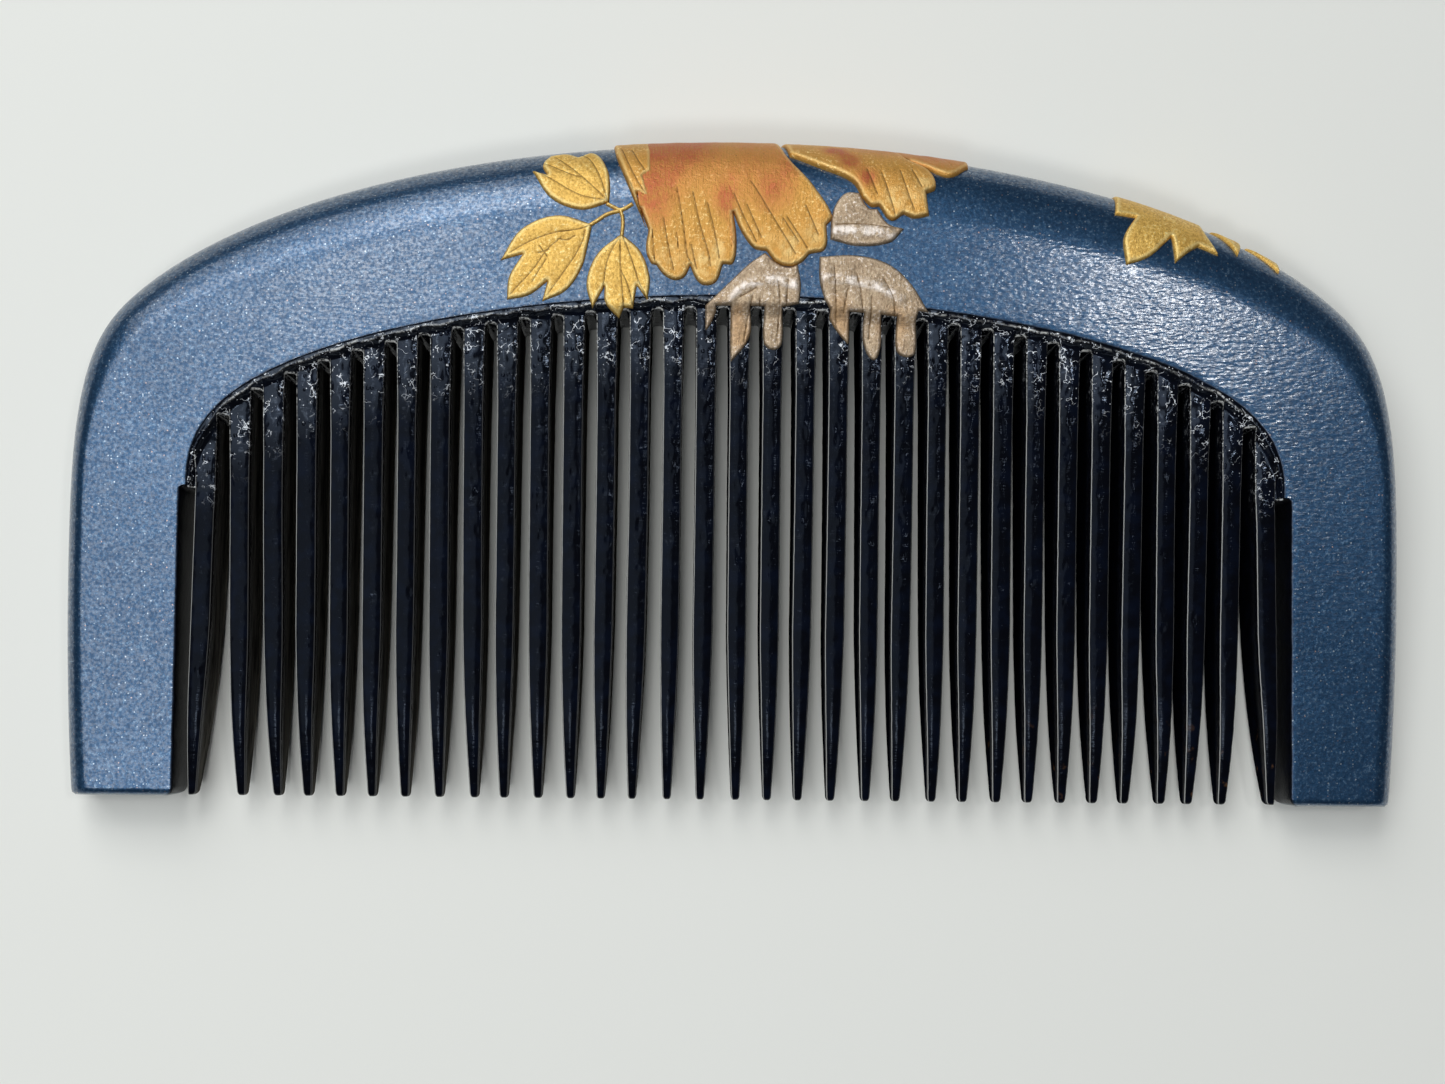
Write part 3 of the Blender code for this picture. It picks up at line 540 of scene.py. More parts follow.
def lacquer_blue(finish):
    """Blue lacquer full of metal dust under a clear coat, with painted shade along its lip, black
    where it turns into the arch.
    """
    paint = Paint("blue_lacquer", finish.blue)
    paint.cover(paint.patches(0.11, 0.38, 0.66, 4.0, 0.6), finish.blue_deep)
    paint.cover(paint.patches(0.9, 0.40, 0.70, 5.0, 0.65) * 0.55, finish.blue_deep)
    grain = paint.cloud(3.8, 3.0, rough=0.75)
    paint.cover(paint.step(grain, 0.56, 0.36) * 0.75, PORE)
    paint.cover(paint.step(grain, 0.54, 0.70) * 0.55, finish.dust)
    far, chances = paint.grains(4.4)
    fleck = paint.step(far, 0.34, 0.12) * paint.step(chances[0], 1.0 - finish.fleck_share, 1.0)
    paint.cover(fleck * 0.8, paint.mix(paint.step(chances[1], 0.80, 0.86), finish.fleck,
                                       WARM_FLECK))
    slanted = paint.scaled(paint.place, (0.22, 3.2, 0.3), 0.9)
    scratch = paint.step(paint.cloud(1.0, 2.0, slanted), 0.725, 0.75)
    paint.cover(scratch * paint.patches(0.35, 0.46, 0.60, 1.0) * 0.6, SCRATCH)
    ragged = paint.layer("edge") + (paint.cloud(1.6, 3.0) - 0.5) * 0.16
    # painted shade along the lip where the blue turns into the arch
    paint.cover(paint.step(ragged, 0.26, 0.10) * 0.70, LIP_SHADE)
    dark = paint.step(ragged, 0.07, 0.02)
    # black of the wall, with bluish clouds that are partly a painted sheen
    paint.cover(dark, paint.mix(paint.patches(0.8, 0.40, 0.70), finish.black, BLUISH_CLOUDS_AND_SHEEN))
    paint.cover(paint.step(paint.layer("foot"), 0.35, 0.65) * 0.60, FOOT_WEAR)
    streaks = paint.cloud(1.0, 1.0, paint.scaled(paint.place, (1.6, 4.0, 3.0)))
    glitter = paint.patches(4.2, 0.36, 0.66, 2.0, 0.6) * finish.blue_coat + 0.26
    metal = paint.calc("ADD", fleck * 0.4, finish.blue_metal, clamp=True)
    relief = paint.bump(grain, 0.020, paint.bump(paint.cloud(1.3, 4.0), 0.024))
    return paint.complete(Normal=relief, Metallic=metal * (1.0 - dark), Roughness=0.34,
                          Specular_IOR_Level=0.1, Coat_Roughness=0.18, Coat_IOR=1.85,
                          Coat_Weight=paint.step(ragged, 0.08, 0.30) * glitter,
                          Coat_Normal=paint.bump(streaks, 0.023))


def lacquer_black(finish):
    """Glossy black lacquer with ripples and pits, thin and dull in the saw cuts, with painted
    light: glints near the roots, highlights along the edges and the bead, lighter right-facing saw
    cuts, and a partly painted blue sheen.
    """
    paint = Paint("black_lacquer", finish.black)
    # bluish clouds, partly a painted blue sheen
    paint.cover(paint.patches(0.8, 0.40, 0.70), BLUISH_CLOUDS_AND_SHEEN)
    side, root = paint.layer("side"), paint.layer("root")
    sawn = paint.cloud(1.0, 3.0, paint.scaled(paint.place, (3.0, 0.25, 2.4)))
    # thin lacquer in the saw cuts, laid on the right-facing ones only as painted light
    paint.cover(paint.layer("bare"), paint.mix(paint.step(sawn, 0.40, 0.66) * 0.7, finish.bare,
                                               finish.black))
    paint.cover(paint.patches(0.75, 0.64, 0.72) * paint.layer("tip") * 0.75, BROWN)
    ragged = paint.calc("MAXIMUM", paint.patches(4.5, 0.40, 0.58, rough=0.7), 1.0 - root)
    # painted highlights along the teeth's edges and the bead, and wear on the slots' rims; broken
    # up near the roots
    paint.cover(paint.layer("rim") * ragged, finish.wear_and_highlight)
    # painted glints: dots and curls near the roots, not on the sides
    far, chances = paint.grains(4.0)
    glint_dots = paint.step(far, 0.22, 0.10) * paint.step(chances[0], 0.66, 0.72)
    glint_curls = paint.step(paint.calc("ABSOLUTE", paint.cloud(1.5) - 0.5), 0.018, 0.004)
    glint_curls = glint_curls * paint.patches(1.1, 0.52, 0.62, 1.0)
    paint.cover(paint.calc("MAXIMUM", glint_dots, glint_curls) * (1.0 - side) * root, GLINT)
    far, chances = paint.grains(2.6, paint.scaled(paint.place, (1.0, 0.75, 1.0)))
    blobs = paint.step(far, 0.42, 0.16) * paint.step(chances[0], 0.72, 0.80)
    ripples = paint.cloud(1.0, 2.0, paint.scaled(paint.place, (0.8, 9.0, 0.8)))
    relief = paint.bump(ripples, 0.012, paint.bump(paint.cloud(1.7, 3.0), 0.011))
    return paint.complete(Normal=paint.bump(blobs * (root + 0.12), 0.060, relief),
                          Roughness=side * 0.60 + paint.cloud(3.0) * 0.12 + 0.06,
                          Specular_IOR_Level=(1.0 - side) * (root * 0.24 + 0.06),
                          Specular_Tint=GLOSS_TINT)


def powder(name, finish, plain, deep, blush_mid, blush_full, light, roughness, strokes, grit_share,
           rim_highlight_share):
    """Sprinkled metal powder over raised lacquer, with engraved veins, a copper blush, and painted
    light: highlights on crests, near the rims and where the blush is below zero, and shade at the
    very rim.
    """
    paint = Paint(name, plain)
    drawn, rim = paint.layer("blush"), paint.layer("rim")
    patch = (paint.cloud(0.9, 4.0, rough=0.6) - 0.5) * 0.55
    blush = paint.calc("ADD", drawn, patch * paint.step(drawn, 0.0, 0.25), clamp=True)
    paint.cover(paint.step(blush, 0.05, 0.45), blush_mid)
    paint.cover(paint.step(blush, 0.42, 0.85), blush_full)
    paint.cover(paint.patches(0.45, 0.36, 0.70, 4.0, 0.6) * 0.34, deep)
    stroke = paint.cloud(1.0, 3.0, paint.scaled(paint.layer("lay", "Vector"), strokes), 0.6)
    paint.cover(paint.step(stroke, 0.48, 0.68) * 0.42, deep)
    grit = paint.cloud(4.6, 3.0, rough=0.78)
    paint.cover(paint.step(grit, 0.54, 0.38) * grit_share, deep)
    bright = paint.step(grit, 0.55, 0.68) * paint.patches(0.6, 0.34, 0.56)
    bright = bright * (1.0 - paint.step(blush, 0.05, 0.5) * 0.85)
    # painted highlight where the blush layer is below zero
    shine = paint.step(drawn, -0.1, -0.7) * paint.patches(1.5, 0.36, 0.62, 4.0, 0.7)
    paint.cover(paint.calc("MAXIMUM", bright, shine) * 0.80, light)
    far, chances = paint.grains(4.2)
    paint.cover(paint.step(far, 0.24, 0.08) * paint.step(chances[1], 0.90, 0.95) * 0.75, PIT)
    paint.cover(paint.step(paint.layer("vein"), 0.072, 0.022) * 0.74, GROOVE)
    # painted shade at the very rim, and a painted highlight just inside it
    paint.cover(paint.step(rim, 0.07, 0.0) * 0.35, deep)
    paint.cover(paint.step(rim, 0.06, 0.16) * paint.step(rim, 0.42, 0.20) * rim_highlight_share, light)
    relief = paint.bump(grit, 0.060, paint.bump(stroke, 0.022))
    return paint.complete(Normal=paint.bump(paint.cloud(2.6, 3.0), 0.035, relief),
                          Metallic=finish.powder_metal,
                          Roughness=paint.cloud(4.0) * 0.18 + (roughness - 0.09))


# The blue frame

GUARD_ROW = 0.26 * MM        # distance between the rings of a guard
SPRING_ROW = 0.12 * MM       # distance between the rings from the arch down to the end slot
STEP_ROWS = 16               # rings where the end slot steps into the guard
STEP_ABOVE, STEP_BELOW = 0.25 * MM, 0.3 * MM    # how far they reach above and below its top
BEVEL_ROWS = 7               # rings over the bevel of a foot
BEVEL_FULL = 0.98            # keeps the bevel's last ring from closing up
LIP_POINTS, FRONT_POINTS, ROUND_POINTS, BACK_POINTS = 6, 18, 33, 10    # points of a ring


def frame_rings(board):
    """Rings over the blue frame from the left foot round the crown to the right foot.

    Besides the points, it gives each one's distance from the arch's wall in millimetres and its
    share of the foot bevel.
    """
    shape = board.shape
    bevel = shape.foot_bevel * (1.0 - np.cos(np.linspace(0.0, math.pi / 2, BEVEL_ROWS)))
    heights = np.concatenate([
        np.arange(board.spring_y - 0.2 * MM, board.slot_y + 0.3 * MM, -SPRING_ROW),
        np.linspace(board.slot_y + STEP_ABOVE, board.slot_y - STEP_BELOW, STEP_ROWS),
        np.arange(board.slot_y - 0.5 * MM, shape.foot_bevel + 0.2 * MM, -GUARD_ROW),
        (shape.foot_bevel - bevel)[:-1], [0.0]])
    guard_arch = np.column_stack([board.wall(heights), heights])
    outer = np.array(board.outer)[::-1]
    guard_ridge = np.column_stack([np.interp(heights, outer[:, 1], outer[:, 0]), heights])
    arch = np.concatenate([board.arch, guard_arch])
    ridge = np.concatenate([board.ridge, guard_ridge])
    trim = np.zeros(len(arch))
    low = heights < shape.foot_bevel
    rise = 1.0 - heights[low] / shape.foot_bevel
    trim[len(board.arch):][low] = shape.foot_bevel * (
        1.0 - np.sqrt(1.0 - rise ** 2 * BEVEL_FULL))
    arch, ridge = (np.concatenate([line[:0:-1] * (-1.0, 1.0), line]) for line in (arch, ridge))
    trim = np.concatenate([trim[:0:-1], trim])
    inward = unit(arch - ridge)
    width = np.linalg.norm(arch - ridge, axis=1)
    rounding = board.rounding(ridge[:, 1])
    places = np.column_stack([arch, trim])
    wave = shape.lip_wave * (wander(places, 900.0, 3) + 0.5 * wander(places, 2600.0, 4))
    lip = shape.lip_round
    inner, outer = width - trim - lip, np.maximum(rounding, trim)
    stops = []        # (distance from the ridge, share of the half thickness, drop, edge)

    def add(depth, cosine, drop=0.0, edge=None):
        stops.append((depth, cosine, drop, width - depth if edge is None else edge))

    def add_lip(side, turns):
        for turn in turns:
            inset, drop = lip * (1.0 - math.cos(turn)), lip * (1.0 - math.sin(turn))
            add(width - trim - inset - wave * (1.0 - inset / lip), side, side * drop, inset - drop)

    turns = np.linspace(0.0, math.pi / 2, LIP_POINTS)
    add_lip(1.0, turns)
    for part in np.linspace(0.0, 1.0, FRONT_POINTS)[1:-1]:
        add(inner * (1.0 - part) + outer * part, 1.0)
    for turn in np.linspace(0.0, math.pi, ROUND_POINTS):
        add(np.maximum(rounding * (1.0 - math.sin(turn)), trim), math.cos(turn))
    for part in np.linspace(0.0, 1.0, BACK_POINTS)[1:-1]:
        add(outer * (1.0 - part) + inner * part, -1.0)
    add_lip(-1.0, turns[::-1])
    for cosine in (-0.5, 0.0, 0.5):
        add(width - trim - wave, cosine, 0.0, -1.0 * MM)
    rings = np.zeros((len(arch), len(stops), 3))
    edges = np.zeros((len(arch), len(stops)))
    for k, (depth, cosine, drop, edge) in enumerate(stops):
        place = ridge + inward * depth[:, None]
        half = board.thickness(place[:, 1]) / 2
        rings[:, k] = np.column_stack([place, half + (half - trim) * cosine - drop])
        edges[:, k] = edge / MM
    feet = np.repeat((trim / shape.foot_bevel)[:, None], len(stops), axis=1)
    return rings, {"edge": edges, "foot": feet}


class COMB_OT_blue_frame(bpy.types.Operator):
    """Build the crown and both guards in blue lacquer"""

    bl_idname = "comb.blue_frame"
    bl_label = "Blue Frame"

    def execute(self, context):
        rings, layers = frame_rings(Board(context.scene.comb_shape))
        ring_piece("blue_frame", rings, layers, lacquer_blue(context.scene.comb_finish))
        return {"FINISHED"}


# The black web and the teeth

WEB_SINK = 0.12 * MM         # the web lies this far below the crests of the teeth
WEB_RIM = 0.14 * MM          # rounding of the slots' rims
SLOT_ROUND = 0.30 * MM       # rounding of a slot's top corners
SLOT_HIDE = 0.03 * MM        # the web's slots run this far into the teeth
MENISCUS = 0.85 * MM         # height over which the black lacquer climbs to the blue
BEAD = 0.09 * MM             # height of the bead that it ends in
BEAD_AT, BEAD_WIDTH = 0.22 * MM, 0.20 * MM    # its distance from the blue, and its width
BEAD_START, BEAD_HIGHLIGHT_WIDTH = 0.20 * MM, 0.065 * MM    # where its painted highlight line lies, and how wide that line is
BEAD_HIGHLIGHT_STRENGTH = 0.85             # strength of the painted highlight along the crest of the bead
BLUE_CLEAR = 0.07 * MM       # the climbing lacquer ends this far below the blue
WEB_BAND = 1.6 * MM          # depth of the web over a tooth
WEB_ROWS = 15                # rows of points down the front of the web
WEB_STEP = 0.06 * MM         # distance between its rings
WEB_GRAIN = 0.015 * MM       # unevenness of the web
WEB_TUCK = 0.01 * MM         # the web runs this far in under the blue
WEB_END = 0.02 * MM          # and ends this far before the guards
WEB_LEAST = 0.05 * MM        # its least height there
SINK_FADE = (0.3 * MM, 1.0 * MM)    # distances from the arch between which it sinks
SLOT_WEAR = ((0.12 * MM, 0.25), (0.20 * MM, 0.0))    # rows under a slot's rim: drop, wear


def wavy_gap(board, x, y):
    """Distance from the arch, made wavy so that what follows it dips over every tooth."""
    places = np.column_stack([x, y, np.zeros_like(x)])
    wave = 0.09 * wander(places, 620.0, 31) + 0.05 * wander(places, 1900.0, 32)
    wave -= 0.06 * np.cos(x * 2.0 * math.pi / board.shape.tooth_pitch)
    return board.arch_gap(x, y) + wave * MM


def painted_bead_highlight(board, x, y):
    """A painted highlight that is up to 1 along the crest of the bead, in longer and shorter runs.
    """
    runs = wander(np.column_stack([x, y, np.full_like(x, 0.01)]), 420.0, 33)
    ends = smooth(board.spring_x - 4.0 * MM, board.spring_x - 1.0 * MM, np.abs(x))
    runs = (0.30 + 0.70 * smooth(-0.25, 0.30, runs)) * (1.0 - ends)
    return runs * np.exp(-((wavy_gap(board, x, y) - BEAD_START) / BEAD_HIGHLIGHT_WIDTH) ** 2)


def climb(board, x, y):
    """How high the black lacquer has climbed from its field to its bead along the blue."""
    gap = wavy_gap(board, x, y)
    height = (board.shape.field_recess - BLUE_CLEAR) * (1.0 - smooth(BEAD_START, MENISCUS, gap))
    return height + BEAD * np.exp(-((gap - BEAD_AT) / BEAD_WIDTH) ** 2)


def slot_floor(board, x):
    """Lower edge of the web above the slots, and a mark that is 1 beside a slot."""
    shape = board.shape
    low = board.arch_height(x) - WEB_BAND
    mark = np.zeros(len(x))
    half = (shape.tooth_pitch - shape.root_width) / 2 + SLOT_HIDE
    for number in range(2, TEETH + 1):
        aside = np.abs(x - board.tooth_middle(number) + shape.tooth_pitch / 2)
        inside = aside < half
        corner = np.clip(aside - (half - SLOT_ROUND), 0.0, SLOT_ROUND)
        top = board.slot_top(number) - SLOT_ROUND + np.sqrt(SLOT_ROUND ** 2 - corner ** 2)
        low = np.where(inside, top, low)
        mark = np.where(inside, 1.0, mark)
    beyond = np.abs(x) > board.tooth_middle(TEETH) + shape.root_width / 2 - SLOT_HIDE
    return np.where(beyond, board.slot_y, low), np.where(beyond, 1.0, mark)


def build_web(board, material):
    """Black web between the blue and the slots, as one strip under the arch."""
    shape = board.shape
    at = along(board.inner)
    fine = np.arange(0.0, at[-1] - WEB_TUCK, WEB_STEP)
    x = np.interp(fine, at, board.inner[:, 0])
    x = np.minimum(np.concatenate([-x[:0:-1], x]), board.spring_x - WEB_END)
    top = board.arch_height(x) + WEB_TUCK
    low, mark = slot_floor(board, x)
    low = np.minimum(low, top - WEB_LEAST)
    rows = [(top * (1.0 - part) + (low + WEB_RIM) * part, 0.0, 0.0)
            for part in np.linspace(0.0, 1.0, WEB_ROWS)]
    for turn in np.linspace(0.0, math.pi / 2, 5)[1:]:
        rows.append((low + WEB_RIM * (1.0 - math.sin(turn)), WEB_RIM * (1.0 - math.cos(turn)),
                     1.0))
    rows += [(low, WEB_RIM + drop, rim) for drop, rim in SLOT_WEAR]
    rows.append((low, "side", 0.0))
    rows += [(low * (1.0 - part) + top * part, "back", 0.0) for part in np.linspace(0.0, 1.0, 5)]
    rings = np.zeros((len(x), len(rows), 3))
    rims = np.zeros((len(x), len(rows)))
    for k, (y, drop, rim) in enumerate(rows):
        y = np.minimum(y, top)
        if drop == "back":
            z = np.full(len(x), shape.field_recess + WEB_SINK)
        elif drop == "side":
            z = board.thickness(y) / 2
        else:
            z = board.thickness(y) - shape.field_recess + climb(board, x, y)
            z -= WEB_SINK * smooth(*SINK_FADE, board.arch_gap(x, y)) + drop
            z += WEB_GRAIN * wander(np.column_stack([x, y, z]), 1700.0, 8)
        rings[:, k] = np.column_stack([x, y, z])
        rims[:, k] = rim * mark
        if k < WEB_ROWS:
            # painted highlight along the crest of the bead
            rims[:, k] = np.maximum(rims[:, k], BEAD_HIGHLIGHT_STRENGTH * painted_bead_highlight(board, x, y))
    ring_piece("black_web", rings, {"rim": rims, "root": np.ones_like(rims)}, material)


ROOT_FLARE = 6.0 * MM        # length over which a root narrows to the middle width
WIDTH_TAPER, WIDTH_POWER = 13.0 * MM, 1.5    # a tooth's taper towards the tip, and how late
DEPTH_TAPER, DEPTH_POWER = 8.0 * MM, 2.0     # it comes
TOOTH_EDGE = 0.14 * MM       # rounding of a tooth's long edges
TOOTH_CREST = 0.07 * MM      # how far a tooth's front bulges
TIP_ROWS = np.array([0.0, 0.02, 0.06, 0.12, 0.2, 0.3]) * MM    # heights of the rings at the tip
TOOTH_ROW = 0.15 * MM        # distance between the rings of a tooth
ROWS_FROM, ROWS_TO = 0.42 * MM, 1.1 * MM    # they start above the tip and end below the root
ROOT_ROW, ROOT_ROWS = 0.06 * MM, 1.05 * MM    # closer rings, and how far down they reach
TOOTH_TUCK = 0.02 * MM       # a tooth runs this far in under the blue
TIP_END = 0.35 * MM          # rounding of the very end of a tooth
TOOTH_WAVER = 0.03 * MM      # how far a tooth's line wavers
TIP_WANDER = 0.16 * MM       # how far a tip may stand off its place
WIDTH_SPREAD = 0.035         # how much one tooth is wider than another
BLUNT_WIDTH, BLUNT_DEPTH = 0.45, 0.55    # shares of the tip's width and depth at its very end
LEAN_POWER = 1.3             # how much of a tooth's lean lies near its tip
END_LOOSE = 0.3              # share of the lean that the two end teeth have
PITTED = (8, 28)             # between these teeth the fronts have many pits
FINE_LUMPS, ROOT_LUMPS = 0.012 * MM, 0.042 * MM    # uneven lacquer, more of it near the roots
LUMPS_ABOVE = 3.0 * MM       # only the front is lumpy, which lies above this height
RIGHT_EDGE_HIGHLIGHT = 0.20            # how strong the painted highlight on the right edges is, where the left ones are at 1
LOW_EDGE_HIGHLIGHT = 0.65              # share of their painted highlight that the edges have far from the roots
BROWN_FROM = 0.72            # from this share of the teeth on, the tips are brown
BROWN_FADE = (1.5 * MM, 8.0 * MM)    # heights between which the brown fades

# Distances below a tooth's top between which a finish comes in or goes out
ROOT_FADE = (7.0 * MM, 2.0 * MM)     # in: the lumps with their painted glints, and the full painted edge highlight near the roots
EDGE_HIGHLIGHT_FADE = (1.0 * MM, 0.7 * MM)     # out: the painted highlight of the edges
LUMP_FADE = (9.0 * MM, 3.0 * MM)     # in: the uneven lacquer
BEAD_FADE = (1.4 * MM, 0.8 * MM)     # out: most of it, towards the bead

TIP_ASIDE = {3: 0.30 * MM, 9: 0.28 * MM, 14: -0.12 * MM, 30: 0.15 * MM}    # bent teeth


def tooth_profile():
    """Half-width and half-depth shares round a tooth, with the corner turn of each point.

    Each entry is (side, face, turn, bulge, wear_and_highlight): side and face pick the corner,
    turn is the angle on its rounding, bulge the share of the front's bulge, and wear_and_highlight
    how strong the painted highlight on that edge is.
    """
    profile = [(part, 1.0, math.pi / 2, 1.0 - part * part, 0.0)
               for part in np.linspace(-1.0, 1.0, 9)[1:-1]]
    profile += [(1.0, 1.0, turn, 0.0, RIGHT_EDGE_HIGHLIGHT if 0.5 < turn < 1.0 else 0.0)
                for turn in np.linspace(math.pi / 2, 0.0, 5)]
    profile += [(1.0, face, 0.0, 0.0, 0.0) for face in (0.3, -0.4)]
    profile += [(1.0, -1.0, turn, 0.0, 0.0) for turn in np.linspace(0.0, -math.pi / 2, 4)]
    profile += [(part, -1.0, -math.pi / 2, 0.4 * (1.0 - part * part), 0.0)
                for part in (0.5, 0.0, -0.5)]
    profile += [(-1.0, -1.0, turn, 0.0, 0.0) for turn in np.linspace(-math.pi / 2, -math.pi, 4)]
    profile += [(-1.0, face, math.pi, 0.0, 0.0) for face in (-0.4, 0.3)]
    profile += [(-1.0, 1.0, turn, 0.0, 1.0 if 2.1 < turn < 2.6 else 0.0)
                for turn in np.linspace(math.pi, math.pi / 2, 5)]
    return profile


def nearing(top, fade, heights):
    """Soft step up a tooth, between two distances below its top."""
    return smooth(top - fade[0], top - fade[1], heights)


def pits(rng, top, count):
    """Small pits and blobs down the middle of a tooth's front."""
    found = []
    for _ in range(count):
        found.append((rng.gauss(0.0, 0.16) * MM, top - rng.uniform(0.6, 20.0) * MM,
                      rng.uniform(0.07, 0.17) * MM, rng.uniform(0.15, 0.42) * MM,
                      rng.choice((-1.0, -1.0, 0.8)) * rng.uniform(0.03, 0.075) * MM))
    return found


def build_tooth(board, number, material):
    """One tooth from the blue lacquer down to its small blunt tip."""
    shape = board.shape
    rng = random.Random(4100 + number)
    root = board.tooth_middle(number)
    top = float(board.arch_height(root)) + TOOTH_TUCK
    heights = np.concatenate([TIP_ROWS, np.arange(ROWS_FROM, top - ROWS_TO, TOOTH_ROW),
                              np.arange(top - ROOT_ROWS, top - TOOTH_TUCK, ROOT_ROW), [top]])
    lean = TIP_ASIDE.get(number, 0.0) + rng.uniform(-1.0, 1.0) * TIP_WANDER
    middle = shape.mid_width * (1.0 + rng.uniform(-WIDTH_SPREAD, WIDTH_SPREAD))
    down = np.clip(1.0 - heights / board.slot_y, 0.0, 1.0)
    flare = np.clip((heights - (top - shape.web_depth - ROOT_FLARE)) / ROOT_FLARE, 0.0, 1.0)
    body = middle + (shape.root_width - middle) * flare
    slim = (1.0 - np.minimum(heights / WIDTH_TAPER, 1.0)) ** WIDTH_POWER
    width = body + (shape.tip_width - body) * slim
    end = np.sqrt(np.maximum(1.0 - (1.0 - np.minimum(heights / TIP_END, 1.0)) ** 2, 0.0))
    width = width * (BLUNT_WIDTH + (1.0 - BLUNT_WIDTH) * end)
    full = board.thickness(heights) - 2 * shape.field_recess
    shallow = (1.0 - np.minimum(heights / DEPTH_TAPER, 1.0)) ** DEPTH_POWER
    depth = full * (1.0 - shallow) + shape.tip_depth * shallow
    depth = depth * (BLUNT_DEPTH + (1.0 - BLUNT_DEPTH) * end)
    aside = lean * down ** LEAN_POWER
    if number in (1, TEETH):
        out = (shape.root_width - width) / 2 + shape.end_lean * down
        aside = aside * END_LOOSE + (out if number == TEETH else -out)
    aside = aside + TOOTH_WAVER * down * np.array(
        [noise.noise(Vector((y * 140.0, number * 9.7, 0.0))) for y in heights])
    edge = np.minimum(TOOTH_EDGE, np.minimum(width, depth) / 2.4)
    profile = tooth_profile()
    rings = np.zeros((len(heights), len(profile), 3))
    rims, sides, bare = (np.zeros(rings.shape[:2]) for _ in range(3))
    many = PITTED[0] < number < PITTED[1]
    dents = pits(rng, top, rng.randint(14, 28) if many else rng.randint(2, 7))
    settle = smooth(top - SHEAR_RUN, top, heights)
    near_root = nearing(top, ROOT_FADE, heights)
    for k, (side, face, turn, bulge, wear_and_highlight) in enumerate(profile):
        flat = width / 2 - edge
        x = root + aside + side * flat + edge * math.cos(turn) * (abs(side) == 1.0)
        y = heights + (board.arch_height(x) - board.arch_height(np.full(len(x), root))) * settle
        centre = board.thickness(y) / 2
        z = centre + face * (depth / 2 - edge) + edge * math.sin(turn)
        z = z + bulge * TOOTH_CREST * (1.0 - shallow) * np.sign(face)
        if face == 1.0:
            z = z + climb(board, x, y) * (z > centre)
            for dx, dy, wide, tall, deep in dents:
                far = ((x - root - aside - dx) / wide) ** 2 + ((y - dy) / tall) ** 2
                z = z + deep * np.exp(-far)
        rings[:, k] = np.column_stack([x, y, z])
        # painted highlight along the teeth's left edges, weaker on the right ones, full near the
        # roots
        rims[:, k] = wear_and_highlight * (LOW_EDGE_HIGHLIGHT + (1.0 - LOW_EDGE_HIGHLIGHT) * near_root)
        rims[:, k] *= 1.0 - nearing(top, EDGE_HIGHLIGHT_FADE, heights)
        if face == 1.0:
            # painted highlight along the crest of the bead
            rims[:, k] = np.maximum(rims[:, k], BEAD_HIGHLIGHT_STRENGTH * painted_bead_highlight(board, x, y))
        sides[:, k] = abs(side) == 1.0 and face != 1.0
        # painted light: only the right-facing saw cuts get the lighter cut colour
        bare[:, k] = 0.9 * (side == 1.0 and face != 1.0)
    rough = nearing(top, LUMP_FADE, heights)
    rough = (rough * (1.0 - 0.8 * nearing(top, BEAD_FADE, heights)))[:, None]
    places = rings.reshape(-1, 3)
    lumps = wander(places, 1500.0, number) + 0.6 * wander(places, 3600.0, number + 50)
    lumps = lumps.reshape(rims.shape)
    rings[:, :, 2] += lumps * (FINE_LUMPS + ROOT_LUMPS * rough) * (rings[:, :, 2] > LUMPS_ABOVE)
    rings[:, :, 0] += lumps * FINE_LUMPS
    brown = (1.0 - smooth(*BROWN_FADE, heights)) * (number > TEETH * BROWN_FROM)
    roots, tips = (np.repeat(values[:, None], len(profile), 1) for values in (near_root, brown))
    layers = {"rim": rims, "side": sides, "bare": bare, "root": roots, "tip": tips}
    ring_piece(f"tooth_{number:02d}", rings, layers, material, 50.0)


class COMB_OT_black_web(bpy.types.Operator):
    """Build the black web under the arch and the teeth that grow from it"""

    bl_idname = "comb.black_web"
    bl_label = "Black Web and Teeth"

    def execute(self, context):
        board = Board(context.scene.comb_shape)
        material = lacquer_black(context.scene.comb_finish)
        build_web(board, material)
        for number in range(1, TEETH + 1):
            build_tooth(board, number, material)
        return {"FINISHED"}


# The ornament. Outlines and lines are drawn flat in millimetres: s along the ridge line from the
# middle, q over the surface from the ridge line towards the arch. A tip is a sharp corner and a
# bend a smooth one. What reaches past the ridge line has q below zero.

def tip(s, q):
    """Sharp corner of an outline."""
    return "tip", Vector((s, q))


def bend(s, q):
    """Smooth corner of an outline."""
    return "bend", Vector((s, q))


